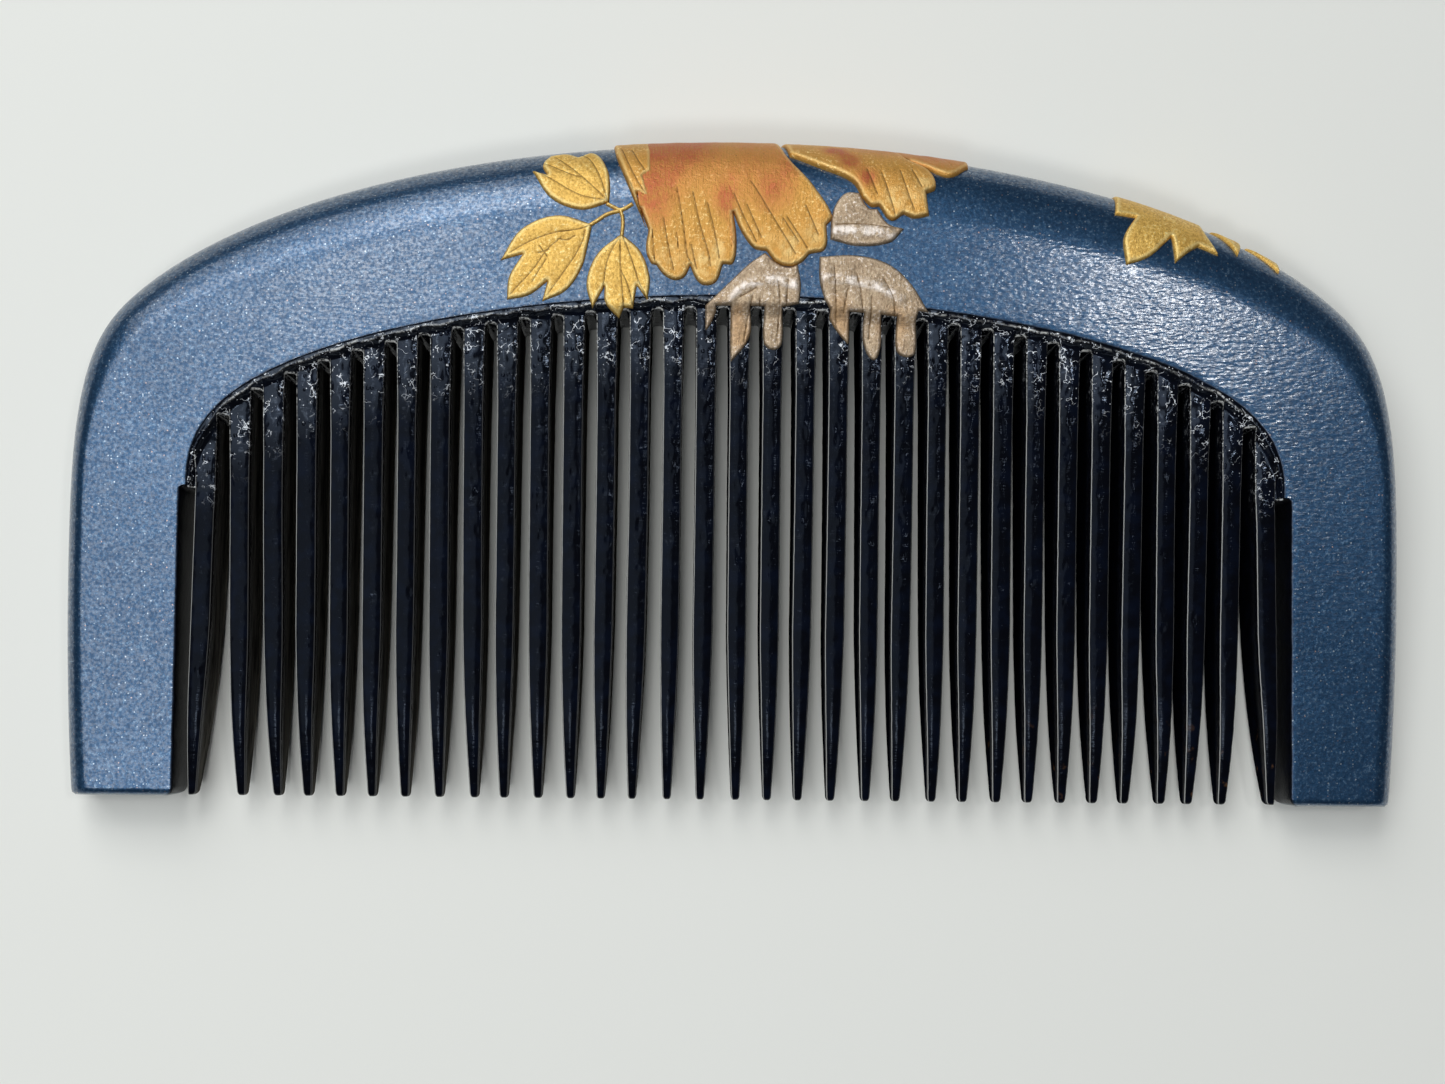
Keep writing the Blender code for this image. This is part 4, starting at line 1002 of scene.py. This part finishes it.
GOLD_LEAVES = {
    "gold_leaf_upper": (
        [tip(-10.1, 7.4), bend(-12.3, 7.75), bend(-14.5, 6.6), tip(-15.7, 4.1), tip(-14.6, 4.7),
         bend(-14.9, 3.6), tip(-14.3, 2.5), bend(-13.1, 2.5), tip(-12.2, 3.1), bend(-11.1, 2.7),
         bend(-10.1, 4.6), bend(-9.95, 6.2)],
        [[(-10.1, 7.4), (-12.0, 5.3), (-14.0, 2.9)],
         [(-10.3, 7.3), (-12.5, 6.6), (-15.4, 4.3)],
         [(-12.0, 5.3), (-12.8, 5.0), (-14.8, 3.6)],
         [(-10.2, 7.3), (-10.7, 5.3), (-11.4, 3.6), (-12.0, 2.9)]]),
    "gold_leaf_left": (
        [tip(-11.5, 8.9), bend(-14.2, 8.0), bend(-17.0, 8.7), tip(-18.9, 10.7), tip(-17.1, 10.5),
         bend(-18.4, 12.0), tip(-18.8, 13.6), bend(-17.0, 13.5), tip(-15.4, 12.7),
         tip(-16.0, 14.1), bend(-14.0, 13.5), bend(-12.6, 12.0), bend(-11.9, 10.2)],
        [[(-11.6, 9.0), (-12.6, 9.2), (-14.7, 9.3), (-16.5, 9.7), (-18.1, 10.3)],
         [(-14.0, 9.7), (-15.1, 10.4), (-16.5, 11.8), (-18.5, 13.3)],
         [(-15.3, 11.1), (-16.6, 12.6)],
         [(-12.1, 9.3), (-12.3, 10.0), (-13.2, 11.3), (-15.6, 13.8)],
         [(-14.2, 9.75), (-13.5, 9.9), (-12.9, 9.65)], [(-15.7, 10.1), (-15.2, 10.9)],
         [(-15.9, 10.6), (-15.0, 10.45)]]),
    "gold_leaf_lower": (
        [tip(-9.3, 9.75), bend(-11.3, 11.1), bend(-12.3, 13.1), tip(-12.0, 15.0),
         tip(-10.9, 13.5), bend(-10.9, 14.7), tip(-9.9, 15.8), tip(-9.45, 15.1),
         tip(-8.7, 15.2), tip(-8.3, 13.6), tip(-7.5, 14.7), bend(-7.25, 13.0),
         bend(-7.9, 11.1)],
        [[(-9.4, 9.9), (-9.5, 12.0), (-9.45, 15.1)],
         [(-9.4, 9.9), (-10.5, 11.6), (-11.1, 14.2)],
         [(-9.5, 12.4), (-9.0, 13.6), (-8.7, 15.0)],
         [(-9.2, 9.9), (-8.6, 11.7), (-8.1, 13.4), (-7.6, 14.5)]]),
}

# Measured along the ridge line from the right shoulder, so that they stay on it
SHOULDER_LEAVES = {
    "shoulder_leaf_main": (
        [tip(-19.9, -2.6), tip(-19.8, 4.1), tip(-18.2, 3.75), bend(-18.8, 6.0),
         tip(-18.1, 7.9), bend(-16.5, 6.7), tip(-15.2, 4.5), tip(-14.4, 6.5),
         bend(-13.6, 5.2), tip(-13.0, 4.4), tip(-11.3, 4.4), bend(-12.4, 3.1),
         tip(-12.9, 2.0), tip(-13.1, -2.6)],
        []),
    "shoulder_leaf_tip": (
        [tip(-12.4, -2.4), tip(-12.0, 0.4), bend(-11.0, 1.9), tip(-9.8, 3.5),
         bend(-9.7, 2.0), tip(-9.9, -2.4)],
        []),
    "shoulder_leaf_edge": (
        [tip(-9.4, -2.4), tip(-9.1, 0.5), bend(-7.9, 1.6), tip(-6.3, 2.9), bend(-6.5, 1.2),
         tip(-6.8, -2.4)],
        []),
}

STEMS = {
    "stem_upper": [(-10.3, 7.45), (-9.8, 7.75), (-9.3, 8.0), (-8.9, 7.9), (-8.3, 7.6)],
    "stem_left": [(-11.8, 9.0), (-11.1, 8.65), (-10.3, 8.25), (-9.3, 8.05)],
    "stem_lower": [(-9.3, 7.95), (-9.15, 8.5), (-9.15, 9.1), (-9.3, 10.0)],
}

# Outline, engraved lines, and blushes of copper as (s, q, half width, half height, amount); an
# amount below zero paints a highlight instead
PETALS = {
    "petal_narrow": (
        [tip(-9.6, -3.0), bend(-9.4, 3.0), bend(-8.6, 6.2), tip(-7.4, 9.4), tip(-7.95, 6.9),
         tip(-6.95, 7.5), tip(-7.35, 5.7), tip(-6.75, 5.3), bend(-6.75, 3.2), tip(-6.85, -3.0)],
        [[(-9.0, 2.6), (-8.5, 4.5), (-7.9, 6.0), (-7.2, 7.2)],
         [(-8.2, 3.0), (-7.8, 4.2), (-7.3, 5.2)],
         [(-8.4, 6.2), (-8.0, 7.4), (-7.6, 8.8)]],
        []),
    "petal_left": (
        [tip(-7.4, -3.4), bend(-7.3, 3.2), bend(-7.6, 5.5), bend(-7.85, 7.4), tip(-7.2, 9.6),
         bend(-7.45, 11.0), bend(-7.1, 12.0),
         tip(-6.7, 12.15), bend(-6.1, 12.9), bend(-5.3, 13.3), bend(-4.5, 13.1),
         tip(-4.0, 12.3), bend(-3.6, 13.2), bend(-3.0, 13.7), bend(-2.0, 13.5),
         tip(-1.4, 12.2), bend(-0.6, 12.1), bend(-0.35, 10.4), tip(-0.62, 8.4),
         bend(-0.60, 6.8), bend(-0.7, 3.1), tip(-0.8, -3.4)],
        [[(-4.9, 6.6), (-4.5, 9.2), (-4.2, 11.6), (-3.9, 12.2)],
         [(-6.0, 8.8), (-5.6, 11.3), (-5.3, 12.7)],
         [(-5.0, 9.9), (-4.9, 11.1)],
         [(-3.7, 7.0), (-3.2, 9.3), (-2.5, 11.6), (-2.4, 12.4)],
         [(-2.6, 7.8), (-2.1, 9.7), (-1.7, 11.8)],
         [(-6.9, 9.6), (-6.8, 11.9)],
         [(-3.9, 10.8), (-3.5, 12.6)]],
        [(-6.7, 4.2, 1.7, 4.2, 1.7), (-4.6, 2.2, 1.3, 2.6, 1.0), (-3.0, -0.5, 3.2, 3.6, 0.60),
         (-1.2, 7.6, 0.8, 1.4, 0.80), (-0.6, 10.0, 0.4, 2.0, 0.45), (-2.4, 4.0, 2.4, 3.4, 0.42),
         (-5.8, 11.4, 1.5, 1.7, -0.42), (-3.0, 12.2, 1.2, 1.6, -0.42),
         (-1.6, 10.8, 0.7, 1.6, -0.36)]),
    "petal_right": (
        [tip(-1.3, -3.4), bend(-1.25, 3.1), bend(-0.95, 6.9), tip(-0.60, 8.5), bend(0.0, 9.8),
         bend(1.0, 11.0), tip(2.0, 11.2), bend(2.8, 12.0), bend(3.9, 12.25), bend(4.8, 11.9),
         tip(5.4, 11.25), bend(6.6, 10.8), tip(6.6, 9.1), bend(7.0, 8.4), bend(5.5, 6.3),
         bend(3.3, 3.4), tip(2.2, -3.4)],
        [[(-1.1, 6.0), (0.0, 8.4), (1.2, 10.6)],
         [(0.4, 7.9), (1.6, 10.3)],
         [(0.7, 6.2), (2.2, 8.4), (4.3, 11.4)],
         [(3.5, 8.7), (5.2, 10.9)],
         [(3.2, 8.8), (4.5, 10.5)],
         [(4.9, 7.8), (6.0, 9.9)]],
        [(2.3, 7.0, 1.0, 1.4, 0.56), (0.4, 0.0, 3.2, 5.2, 0.50), (3.6, 4.6, 0.8, 2.6, 0.45),
         (0.8, 5.5, 2.6, 3.0, 0.34),
         (-0.9, 7.0, 0.6, 1.4, 0.60), (1.4, 9.9, 1.1, 1.0, -0.36), (3.9, 10.9, 1.5, 1.5, -0.42),
         (5.9, 9.6, 0.9, 1.2, -0.36)]),
    "petal_far": (
        [tip(2.4, -3.4), tip(3.6, 3.4), bend(5.6, 4.4), bend(8.3, 5.6), tip(9.2, 6.9),
         bend(9.9, 7.45), tip(10.5, 7.35), bend(11.5, 8.3), tip(12.45, 7.75),
         bend(13.3, 7.95), tip(14.4, 7.6), tip(14.0, 5.9), bend(14.7, 5.3), bend(14.1, 3.9),
         bend(12.2, 2.4), tip(11.0, -3.4)],
        [[(10.5, 4.8), (11.2, 6.5), (11.8, 8.0)],
         [(9.4, 4.6), (10.3, 6.6)],
         [(11.9, 4.4), (12.6, 6.2), (13.2, 7.4)],
         [(12.8, 4.2), (13.6, 5.6)]],
        [(7.0, 2.8, 0.9, 0.7, 1.0), (8.1, 4.0, 0.8, 0.8, 1.1), (9.5, 5.4, 0.8, 0.8, 1.0),
         (10.6, 1.0, 2.6, 1.8, 0.70), (11.8, 6.8, 1.8, 1.2, -0.42), (13.8, 5.2, 0.9, 1.4, -0.36)]),
    "petal_edge": (
        [tip(10.5, -3.2), bend(11.9, 2.2), bend(13.8, 3.4), bend(15.7, 4.0), tip(17.1, 2.4),
         tip(17.2, -3.2)],
        [[(13.0, 1.0), (14.6, 2.6)], [(14.6, 0.6), (15.8, 2.8)]],
        [(14.0, 0.5, 4.0, 3.0, 0.8)]),
}

# How much higher a petal lies than its neighbours in millimetres, and where it meets them
NARROW_SEAM = [(-7.2, -3.4), (-7.1, 3.2), (-7.4, 5.6), (-7.6, 7.2)]
MIDDLE_SEAM = [(-1.1, -3.4), (-1.0, 3.1), (-0.85, 7.6)]
PETAL_LAYERS = {
    "petal_narrow": (0.09, []),
    "petal_left": (0.0, [NARROW_SEAM, MIDDLE_SEAM]),
    "petal_right": (0.03, [MIDDLE_SEAM]),
    "petal_far": (0.03, []),
    "petal_edge": (-0.04, [[(11.0, -3.2), (12.0, 2.3)]]),
}

# Silver leaves: the body lies on the blue, and each lobe runs down the front of one tooth.
# A lobe is the tooth's number, how far it reaches, its left and its right half width, how far
# aside its point lies, and how much earlier its left and its right side end.
SILVER_LEAVES = {
    "silver_leaf_left": (
        [bend(4.85, 13.6), tip(4.75, 14.9), tip(3.9, 15.1)],
        [(18, 18.3, 0.66, 0.66, 0.05, 0.5, 0.5), (17, 19.2, 0.70, 0.74, -0.60, 0.4, 1.9),
         (16, 16.9, 0.12, 0.66, -0.02, 0.5, 1.3)],
        [bend(-0.9, 13.5), bend(0.7, 12.1), tip(1.9, 11.3), bend(2.8, 12.0),
         bend(3.8, 12.3), tip(4.5, 12.05)],
        [[(-1.2, 15.6), (-0.5, 14.4), (0.9, 13.6), (2.4, 13.3), (4.4, 13.6)]],
        [[(1.0, 14.5), (0.6, 16.2), (0.35, 17.8)], [(1.6, 14.6), (1.45, 17.2)],
         [(3.0, 13.4), (3.2, 14.6), (3.1, 17.6)], [(3.8, 13.2), (3.7, 16.4)],
         [(0.0, 14.6), (1.3, 13.9)]]),
    "silver_leaf_right": (
        [bend(9.2, 11.1), bend(11.7, 11.5), bend(13.6, 12.7), tip(15.3, 14.6),
         tip(14.5, 14.6)],
        [(22, 18.0, 0.66, 0.74, 0.05, 0.45, 0.45), (21, 18.5, 0.66, 0.62, 0.10, 1.2, 1.0),
         (20, 17.5, 0.70, 0.72, 0.62, 1.6, 0.4)],
        [tip(6.8, 14.5), bend(6.3, 13.1), tip(6.2, 11.4)],
        [[(6.8, 13.0), (8.8, 13.0), (10.8, 13.2), (12.8, 13.9)]],
        [[(7.4, 12.0), (7.6, 13.4), (7.9, 16.4)], [(9.2, 12.4), (9.8, 14.2), (10.2, 17.4)],
         [(11.4, 12.6), (12.4, 14.2), (12.6, 16.8)], [(8.6, 13.6), (8.4, 15.4)],
         [(10.6, 14.0), (10.7, 17.0)]]),
}

SILVER_BACK = (
    [tip(6.9, 8.6), bend(7.2, 7.5), bend(7.9, 6.6), tip(8.9, 6.5), bend(9.7, 7.55),
     tip(10.4, 7.6), bend(11.3, 8.55), tip(12.6, 8.8), bend(11.6, 9.9), bend(9.1, 10.4),
     tip(6.95, 10.1)],
    [[(7.3, 9.5), (9.2, 9.3), (11.6, 9.3)]],
    [[(7.4, 9.0), (9.6, 8.8), (12.0, 8.9)]])

SILVER_BLUSH = [(-0.9, 16.4, 1.2, 1.6, 0.8), (1.0, 18.0, 1.0, 1.4, 0.5),
                (8.0, 16.0, 1.4, 1.8, 0.5), (12.6, 16.0, 1.4, 1.6, 0.5)]

SEARCH_STEPS = 8             # repeats when a place over a tooth is searched for
OUTLINE_STEP = 0.10          # length in millimetres of an outline's facets
OUTLINE_HANDLE = 1 / 3       # length of an outline's curve handles, as a share of the chord
CUT_SLACK = 0.02             # share of a cell within which a cut takes a point that is there
RELIEF_WAVES = ((0.9, 0.022 * MM, 0), (3.1, 0.010 * MM, 9))    # scale, height, added to the seed
SEAM_FADE = (0.45, 0.9)      # where a rim is rounded again beside a seam, in millimetres
FACE_FADE = (0.5, 3.0)       # how far from the ridge line the face is reached, in millimetres
SWELL_RUN, SWELL_LEVEL = 0.75, 0.6    # run of a swelling in millimetres, and its zero level
RIM_HEIGHT = 0.22            # height of a raised piece at its very rim, as a share of its own
CREST_HEIGHT, CREST_WIDTH = 0.10 * MM, 0.42    # of a leaf's crest, its width in millimetres
CREST_SHINE = 0.7            # how far below zero a crest sets the blush, which makes it shine
LEAST_LIFT = 0.02 * MM       # a raised piece is never lower than this
SINK = 0.05 * MM             # a raised piece is let into the lacquer by this much


def over_tooth(board, number, aside, q):
    """Place in the outlines' millimetres over the front of a tooth, aside of its middle."""
    x = board.tooth_middle(number) + aside * MM
    s = x
    for _ in range(SEARCH_STEPS):
        s += x - board.surface(np.array([s]), np.array([q * MM]), np.zeros(1))[0, 0]
    return Vector((s / MM, q))


def lobe(board, number, reach, left, right, point, left_end, right_end):
    """Finger of a silver leaf down the front of one tooth, from its right side to its left."""
    root = (board.step_start + STEP_RUN) / MM
    return [("tip", over_tooth(board, number, right, root)),
            ("bend", over_tooth(board, number, right, reach - right_end)),
            ("bend", over_tooth(board, number, point, reach)),
            ("bend", over_tooth(board, number, -left, reach - left_end)),
            ("tip", over_tooth(board, number, -left, root))]


def smooth_outline(corners):
    """Closed outline through the corners, curved at its bends and sharp at its tips."""
    count = len(corners)
    path = []
    for i, (kind, here) in enumerate(corners):
        next_kind, there = corners[(i + 1) % count]
        before, beyond = corners[i - 1][1], corners[(i + 2) % count][1]
        chord = (there - here).length
        leave = (there - (before if kind == "bend" else here)).normalized()
        arrive = ((beyond if next_kind == "bend" else there) - here).normalized()
        handle = chord * OUTLINE_HANDLE
        facets = max(2, round(chord / OUTLINE_STEP))
        path += interpolate_bezier(here, here + leave * handle, there - arrive * handle,
                                   there, facets + 1)[:-1]
    return path


def smooth_line(route):
    """Open line through points, curved at the inner ones."""
    points = [Vector(p) for p in route]
    slopes = [points[min(i + 1, len(points) - 1)] - points[max(i - 1, 0)]
              for i in range(len(points))]
    path = []
    for a, b, leave, arrive in zip(points, points[1:], slopes, slopes[1:]):
        handle = (b - a).length * OUTLINE_HANDLE
        path += interpolate_bezier(a, a + leave.normalized() * handle,
                                   b - arrive.normalized() * handle, b, 9)[:-1]
    return np.array(path + [points[-1]])


def ribbon_outline(route, width):
    """Closed outline of a narrow stem along a route in millimetres."""
    path = [Vector(p) for p in smooth_line(route)]
    right, left = [], []
    for i, point in enumerate(path):
        ahead = (path[min(i + 1, len(path) - 1)] - path[max(i - 1, 0)]).normalized()
        side = Vector((-ahead.y, ahead.x)) * width / 2
        right.append(point + side)
        left.append(point - side)
    return right + left[::-1]


def reach_to(points, line, closed=False):
    """Distance from each point to a line, in the line's units."""
    ends = np.roll(line, -1, axis=0) if closed else line[1:]
    starts = line if closed else line[:-1]
    best = np.full(len(points), 1e9)
    for a, b in zip(starts, ends):
        step = b - a
        part = np.clip(((points - a) @ step) / max(step @ step, 1e-12), 0.0, 1.0)
        best = np.minimum(best, np.hypot(*(points - a - part[:, None] * step).T))
    return best


def cut_net(outline, cut):
    """Plate with the outline, cut into square cells of a side; its under and upper points."""
    bm = bmesh.new()
    # a layer that is added later would make the points in hand useless
    for name in ("vein", "rim", "blush"):
        bm.verts.layers.float.new(name)
    bm.verts.layers.float_vector.new("lay")
    bm.faces.new([bm.verts.new((p.x, p.y, 0.0)) for p in outline])
    for axis in (0, 1):
        reach = [p[axis] / cut for p in outline]
        for i in range(math.ceil(min(reach)), math.floor(max(reach)) + 1):
            spot = [0.0, 0.0, 0.0]
            spot[axis] = i * cut
            bmesh.ops.bisect_plane(bm, geom=bm.verts[:] + bm.edges[:] + bm.faces[:],
                                   dist=cut * CUT_SLACK, plane_co=spot,
                                   plane_no=(1.0 - axis, float(axis), 0.0))
    under = bm.verts[:]
    grown = bmesh.ops.extrude_face_region(bm, geom=bm.faces[:])
    return bm, under, [v for v in grown["geom"] if isinstance(v, bmesh.types.BMVert)]


def build_relief(board, node, outline, rise, material, seed, veins=(), ridges=(), blush=(),
                 seams=(), cut=0.085, pillow=0.035, edge=0.22, shift=0.0):
    """Raised piece: its outline cut into a fine net, given a thickness and laid on the board.

    veins, ridges and seams are lines, and blush lists patches of copper; where their amount is
    below zero they paint a highlight, as the crests along the ridges do. cut is the side of the
    net's cells, pillow how far the piece swells between its lines, edge the width of its rounded
    rim, and shift its place along the ridge line, all in millimetres.
    """
    shape = board.shape
    offset = Vector((shift, 0.0))
    outline = [p + offset for p in outline]
    veins, ridges = ([smooth_line([Vector(p) + offset for p in line]) for line in lines]
                     for lines in (veins, ridges))
    bm, under, over = cut_net(outline, cut)
    flat = np.array([tuple(p) for p in outline])
    net = np.array([v.co[:2] for v in over])
    rim = reach_to(net, flat, closed=True)
    vein = np.full(len(net), 1.0)
    for line in veins:
        vein = np.minimum(vein, reach_to(net, line))
    for line in seams:
        # where one piece runs under another its rim isn't rounded
        rim = np.maximum(rim, 1.0 - smooth(*SEAM_FADE, reach_to(net, smooth_line(line))))
    crest = np.zeros(len(net))
    for line in ridges:
        crest += np.exp(-(reach_to(net, line) / CREST_WIDTH) ** 2)
    s, q = net.T * MM
    round_off = np.sqrt(1.0 - (1.0 - np.clip(rim / edge, 0.0, 1.0)) ** 2)
    between = smooth(0.0, SWELL_RUN, np.minimum(vein, rim))
    on_face = smooth(*FACE_FADE, net[:, 1])
    lift = RIDGE_RISE + (rise - RIDGE_RISE) * smooth(0.0, RISE_RUN, q)
    lift *= RIM_HEIGHT + (1.0 - RIM_HEIGHT) * round_off
    lift += pillow * MM * (between - SWELL_LEVEL) * on_face
    lift += CREST_HEIGHT * crest * round_off
    lift -= shape.vein_depth * np.exp(-(vein * MM / shape.vein_width) ** 2) * round_off * on_face
    dots = np.column_stack([net, np.zeros(len(net))])
    for scale, height, skip in RELIEF_WAVES:
        lift += height * wander(dots, scale, seed + skip) * round_off
    lift = np.maximum(lift, LEAST_LIFT)
    # painted highlights on the crests, and the copper blush, which paints highlights where its
    # amount is below zero
    blush_and_shine = -CREST_SHINE * crest
    for at_s, at_q, wide, tall, amount in blush:
        far = ((net - (at_s, at_q)) / (wide, tall)) ** 2
        blush_and_shine += amount * np.exp(-far.sum(axis=1))
    lay = bm.verts.layers.float_vector["lay"]
    for vert in bm.verts:
        vert[lay] = (*vert.co[:2], 0.0)
    # veins fade out towards the ridge line
    for name, above, below in (("vein", vein + 0.4 * (1.0 - on_face), 1.0), ("rim", rim, 0.0),
                               ("blush", blush_and_shine, 0.0)):
        layer = bm.verts.layers.float[name]
        for vert, value in [*zip(over, above), *((vert, below) for vert in under)]:
            vert[layer] = value
    places = board.surface(s, q, lift - board.step_down(q))
    s, q = np.array([v.co[:2] for v in under]).T * MM
    places = np.concatenate([places, board.surface(s, q, -SINK - board.step_down(q))])
    for vert, place in zip(over + under, places):
        vert.co = place
    finish_piece(node, bm, material)


class COMB_OT_gold_leaves(bpy.types.Operator):
    """Build the gold leaves with their stems, on the crown and on the right shoulder"""

    bl_idname = "comb.gold_leaves"
    bl_label = "Gold Leaves"

    def execute(self, context):
        shape, finish = context.scene.comb_shape, context.scene.comb_finish
        board = Board(shape)
        gold = powder("gold_powder", finish, finish.gold, finish.gold_deep, finish.orange,
                      finish.copper, GOLD_LIGHT, 0.48, (5.0, 1.6, 1.0), 0.70, 0.30)
        seed = 20
        for group, shift in ((GOLD_LEAVES, 0.0), (SHOULDER_LEAVES, board.shoulder_at / MM)):
            for node, (corners, veins) in group.items():
                seed += 1
                build_relief(board, node, smooth_outline(corners), shape.leaf_rise, gold,
                             seed, veins, shift=shift, cut=0.07)
        for node, route in STEMS.items():
            outline = ribbon_outline(route, shape.stem_width / MM)
            build_relief(board, node, outline, shape.stem_rise, gold, seed,
                         pillow=0.0, edge=0.21, cut=0.06)
        return {"FINISHED"}


class COMB_OT_petals(bpy.types.Operator):
    """Build the petals of copper and gold powder that wrap over the crown"""

    bl_idname = "comb.petals"
    bl_label = "Petals"

    def execute(self, context):
        shape, finish = context.scene.comb_shape, context.scene.comb_finish
        board = Board(shape)
        material = powder("copper_gold_powder", finish, finish.red_gold, finish.gold_deep,
                          finish.orange, finish.copper, PETAL_LIGHT, 0.46, (9.0, 0.5, 1.0), 0.45,
                          0.25)
        for seed, (node, (corners, veins, blush)) in enumerate(PETALS.items()):
            over, seams = PETAL_LAYERS[node]
            build_relief(board, node, smooth_outline(corners), shape.petal_rise + over * MM,
                         material, 40 + seed, veins, blush=blush,
                         seams=seams, pillow=0.03, edge=0.26)
        return {"FINISHED"}


class COMB_OT_silver_leaves(bpy.types.Operator):
    """Build the silver leaves whose lobes run down the teeth"""

    bl_idname = "comb.silver_leaves"
    bl_label = "Silver Leaves"

    def execute(self, context):
        shape, finish = context.scene.comb_shape, context.scene.comb_finish
        board = Board(shape)
        material = powder("silver_powder", finish, finish.silver, SILVER_THIN,
                          finish.silver_warm, finish.silver_warm, SILVER_LIGHT, 0.42,
                          (6.0, 1.2, 1.0), 0.55, 0.05)
        reliefs = {}
        for node, (start, lobes, end, ridges, veins) in SILVER_LEAVES.items():
            fingers = [corner for each in lobes for corner in lobe(board, *each)]
            reliefs[node] = (start + fingers + end, ridges, veins)
        reliefs["silver_leaf_back"] = SILVER_BACK
        for seed, (node, (corners, ridges, veins)) in enumerate(reliefs.items()):
            build_relief(board, node, smooth_outline(corners), shape.leaf_rise, material,
                         60 + seed, veins, ridges, SILVER_BLUSH, cut=0.075)
        return {"FINISHED"}


# The studio

# Lamps by the name of their power setting: place and target in metres, size, tint
LAMPS = {
    "overhead": ((-0.085, 0.36, 0.46), (-0.02, 0.0, 0.0), (0.22, 0.28), (1.0, 1.0, 0.98)),
    "front": ((-0.055, -0.24, 0.50), (0.0, 0.0, 0.0), (0.080, 0.080), (1.0, 1.0, 1.0)),
    "panel": ((-0.210, 0.005, 0.57), (-0.210, 0.005, 0.0), (0.48, 0.71), (0.93, 0.97, 1.0)),
    "window": ((-0.25, 0.40, 0.42), (0.0, 0.0, 0.0), (0.50, 0.50), (0.97, 0.99, 1.0)),
    "glow": ((-0.105, 0.052, 0.50), (-0.025, 0.03, 0.0), (0.10, 0.06), (1.0, 1.0, 0.98)),
    "spark": ((0.137, 0.032, 0.45), (0.03, 0.01, 0.0), (0.036, 0.026), (1.0, 1.0, 1.0)),
}
CAMERA_AT = (-3.73 * MM, -17.27 * MM, 153.29 * MM)
CAMERA_TURN = (4.517, -1.076, 0.6)       # in degrees
CAMERA_LENS, CAMERA_SENSOR = 49.83, 36.0    # in millimetres
CAMERA_CLIP = 5.0 * MM
FLOOR_HALF = 2.0             # half the side of the floor
FLOOR_GAP = 0.02 * MM        # the floor lies this far below the comb
FLOOR_ROUGHNESS = 0.75


def lamp(name, energy, place, target, size, tint):
    """Rectangular soft lamp that looks at a target."""
    light = bpy.data.lights.new(name, "AREA")
    light.shape = "RECTANGLE"
    light.size, light.size_y = size
    light.energy, light.color = energy, tint
    made = bpy.data.objects.new(name, light)
    made.location = place
    made.rotation_euler = (Vector(target) - Vector(place)).to_track_quat("-Z", "Y").to_euler()
    bpy.context.scene.collection.objects.link(made)


def lay_floor(settings):
    """Plain pale floor just below the comb."""
    bm = bmesh.new()
    bmesh.ops.create_grid(bm, x_segments=1, y_segments=1, size=FLOOR_HALF)
    mesh = bpy.data.meshes.new("floor")
    bm.to_mesh(mesh)
    bm.free()
    floor = bpy.data.objects.new("floor", mesh)
    floor.location.z = FRAME_LOW.z - FLOOR_GAP
    bpy.context.scene.collection.objects.link(floor)
    pale = bpy.data.materials.new("pale_floor")
    pale.use_nodes = True
    shader = pale.node_tree.nodes["Principled BSDF"]
    shader.inputs["Base Color"].default_value = (*settings.floor, 1.0)
    shader.inputs["Roughness"].default_value = FLOOR_ROUGHNESS
    mesh.materials.append(pale)


class COMB_OT_stage(bpy.types.Operator):
    """Set the floor, the lamps, the sky and the camera"""

    bl_idname = "comb.stage"
    bl_label = "Stage"

    def execute(self, context):
        scene, settings = context.scene, context.scene.comb_stage
        lay_floor(settings)
        for name, look in LAMPS.items():
            lamp(name, getattr(settings, name), *look)
        scene.world = scene.world or bpy.data.worlds.new("sky")
        scene.world.use_nodes = True
        background = scene.world.node_tree.nodes["Background"]
        background.inputs["Color"].default_value = (*settings.sky, 1.0)
        background.inputs["Strength"].default_value = settings.sky_strength
        camera = bpy.data.objects.new("camera", bpy.data.cameras.new("camera"))
        camera.location = CAMERA_AT
        camera.rotation_euler = Euler([math.radians(angle) for angle in CAMERA_TURN])
        camera.data.lens, camera.data.sensor_width = CAMERA_LENS, CAMERA_SENSOR
        camera.data.clip_start = CAMERA_CLIP
        scene.collection.objects.link(camera)
        scene.camera = camera
        scene.view_settings.view_transform = "Standard"
        return {"FINISHED"}


STEPS = (COMB_OT_blue_frame, COMB_OT_black_web, COMB_OT_gold_leaves, COMB_OT_petals,
         COMB_OT_silver_leaves, COMB_OT_stage)
SETTINGS = {"comb_shape": CombShape, "comb_finish": CombFinish, "comb_stage": CombStage}


class COMB_PT_sidebar(bpy.types.Panel):
    """Steps of the comb and their settings"""

    bl_idname = "COMB_PT_sidebar"
    bl_label = "Hair Comb"
    bl_space_type = "VIEW_3D"
    bl_region_type = "UI"
    bl_category = "Hair Comb"

    def draw(self, context):
        for step in STEPS:
            self.layout.operator(step.bl_idname)
        for key, group in SETTINGS.items():
            box = self.layout.box()
            for name in group.__annotations__:
                box.prop(getattr(context.scene, key), name)


def register():
    for group in SETTINGS.values():
        bpy.utils.register_class(group)
    for key, group in SETTINGS.items():
        setattr(bpy.types.Scene, key, bpy.props.PointerProperty(type=group))
    for cls in (*STEPS, COMB_PT_sidebar):
        bpy.utils.register_class(cls)


def unregister():
    for cls in (COMB_PT_sidebar, *reversed(STEPS)):
        bpy.utils.unregister_class(cls)
    for key in SETTINGS:
        delattr(bpy.types.Scene, key)
    for group in reversed(SETTINGS.values()):
        bpy.utils.unregister_class(group)


def main():
    register()
    bpy.ops.comb.blue_frame()
    bpy.ops.comb.black_web()
    bpy.ops.comb.gold_leaves()
    bpy.ops.comb.petals()
    bpy.ops.comb.silver_leaves()
    bpy.ops.comb.stage()


if __name__ == "__main__":
    main()
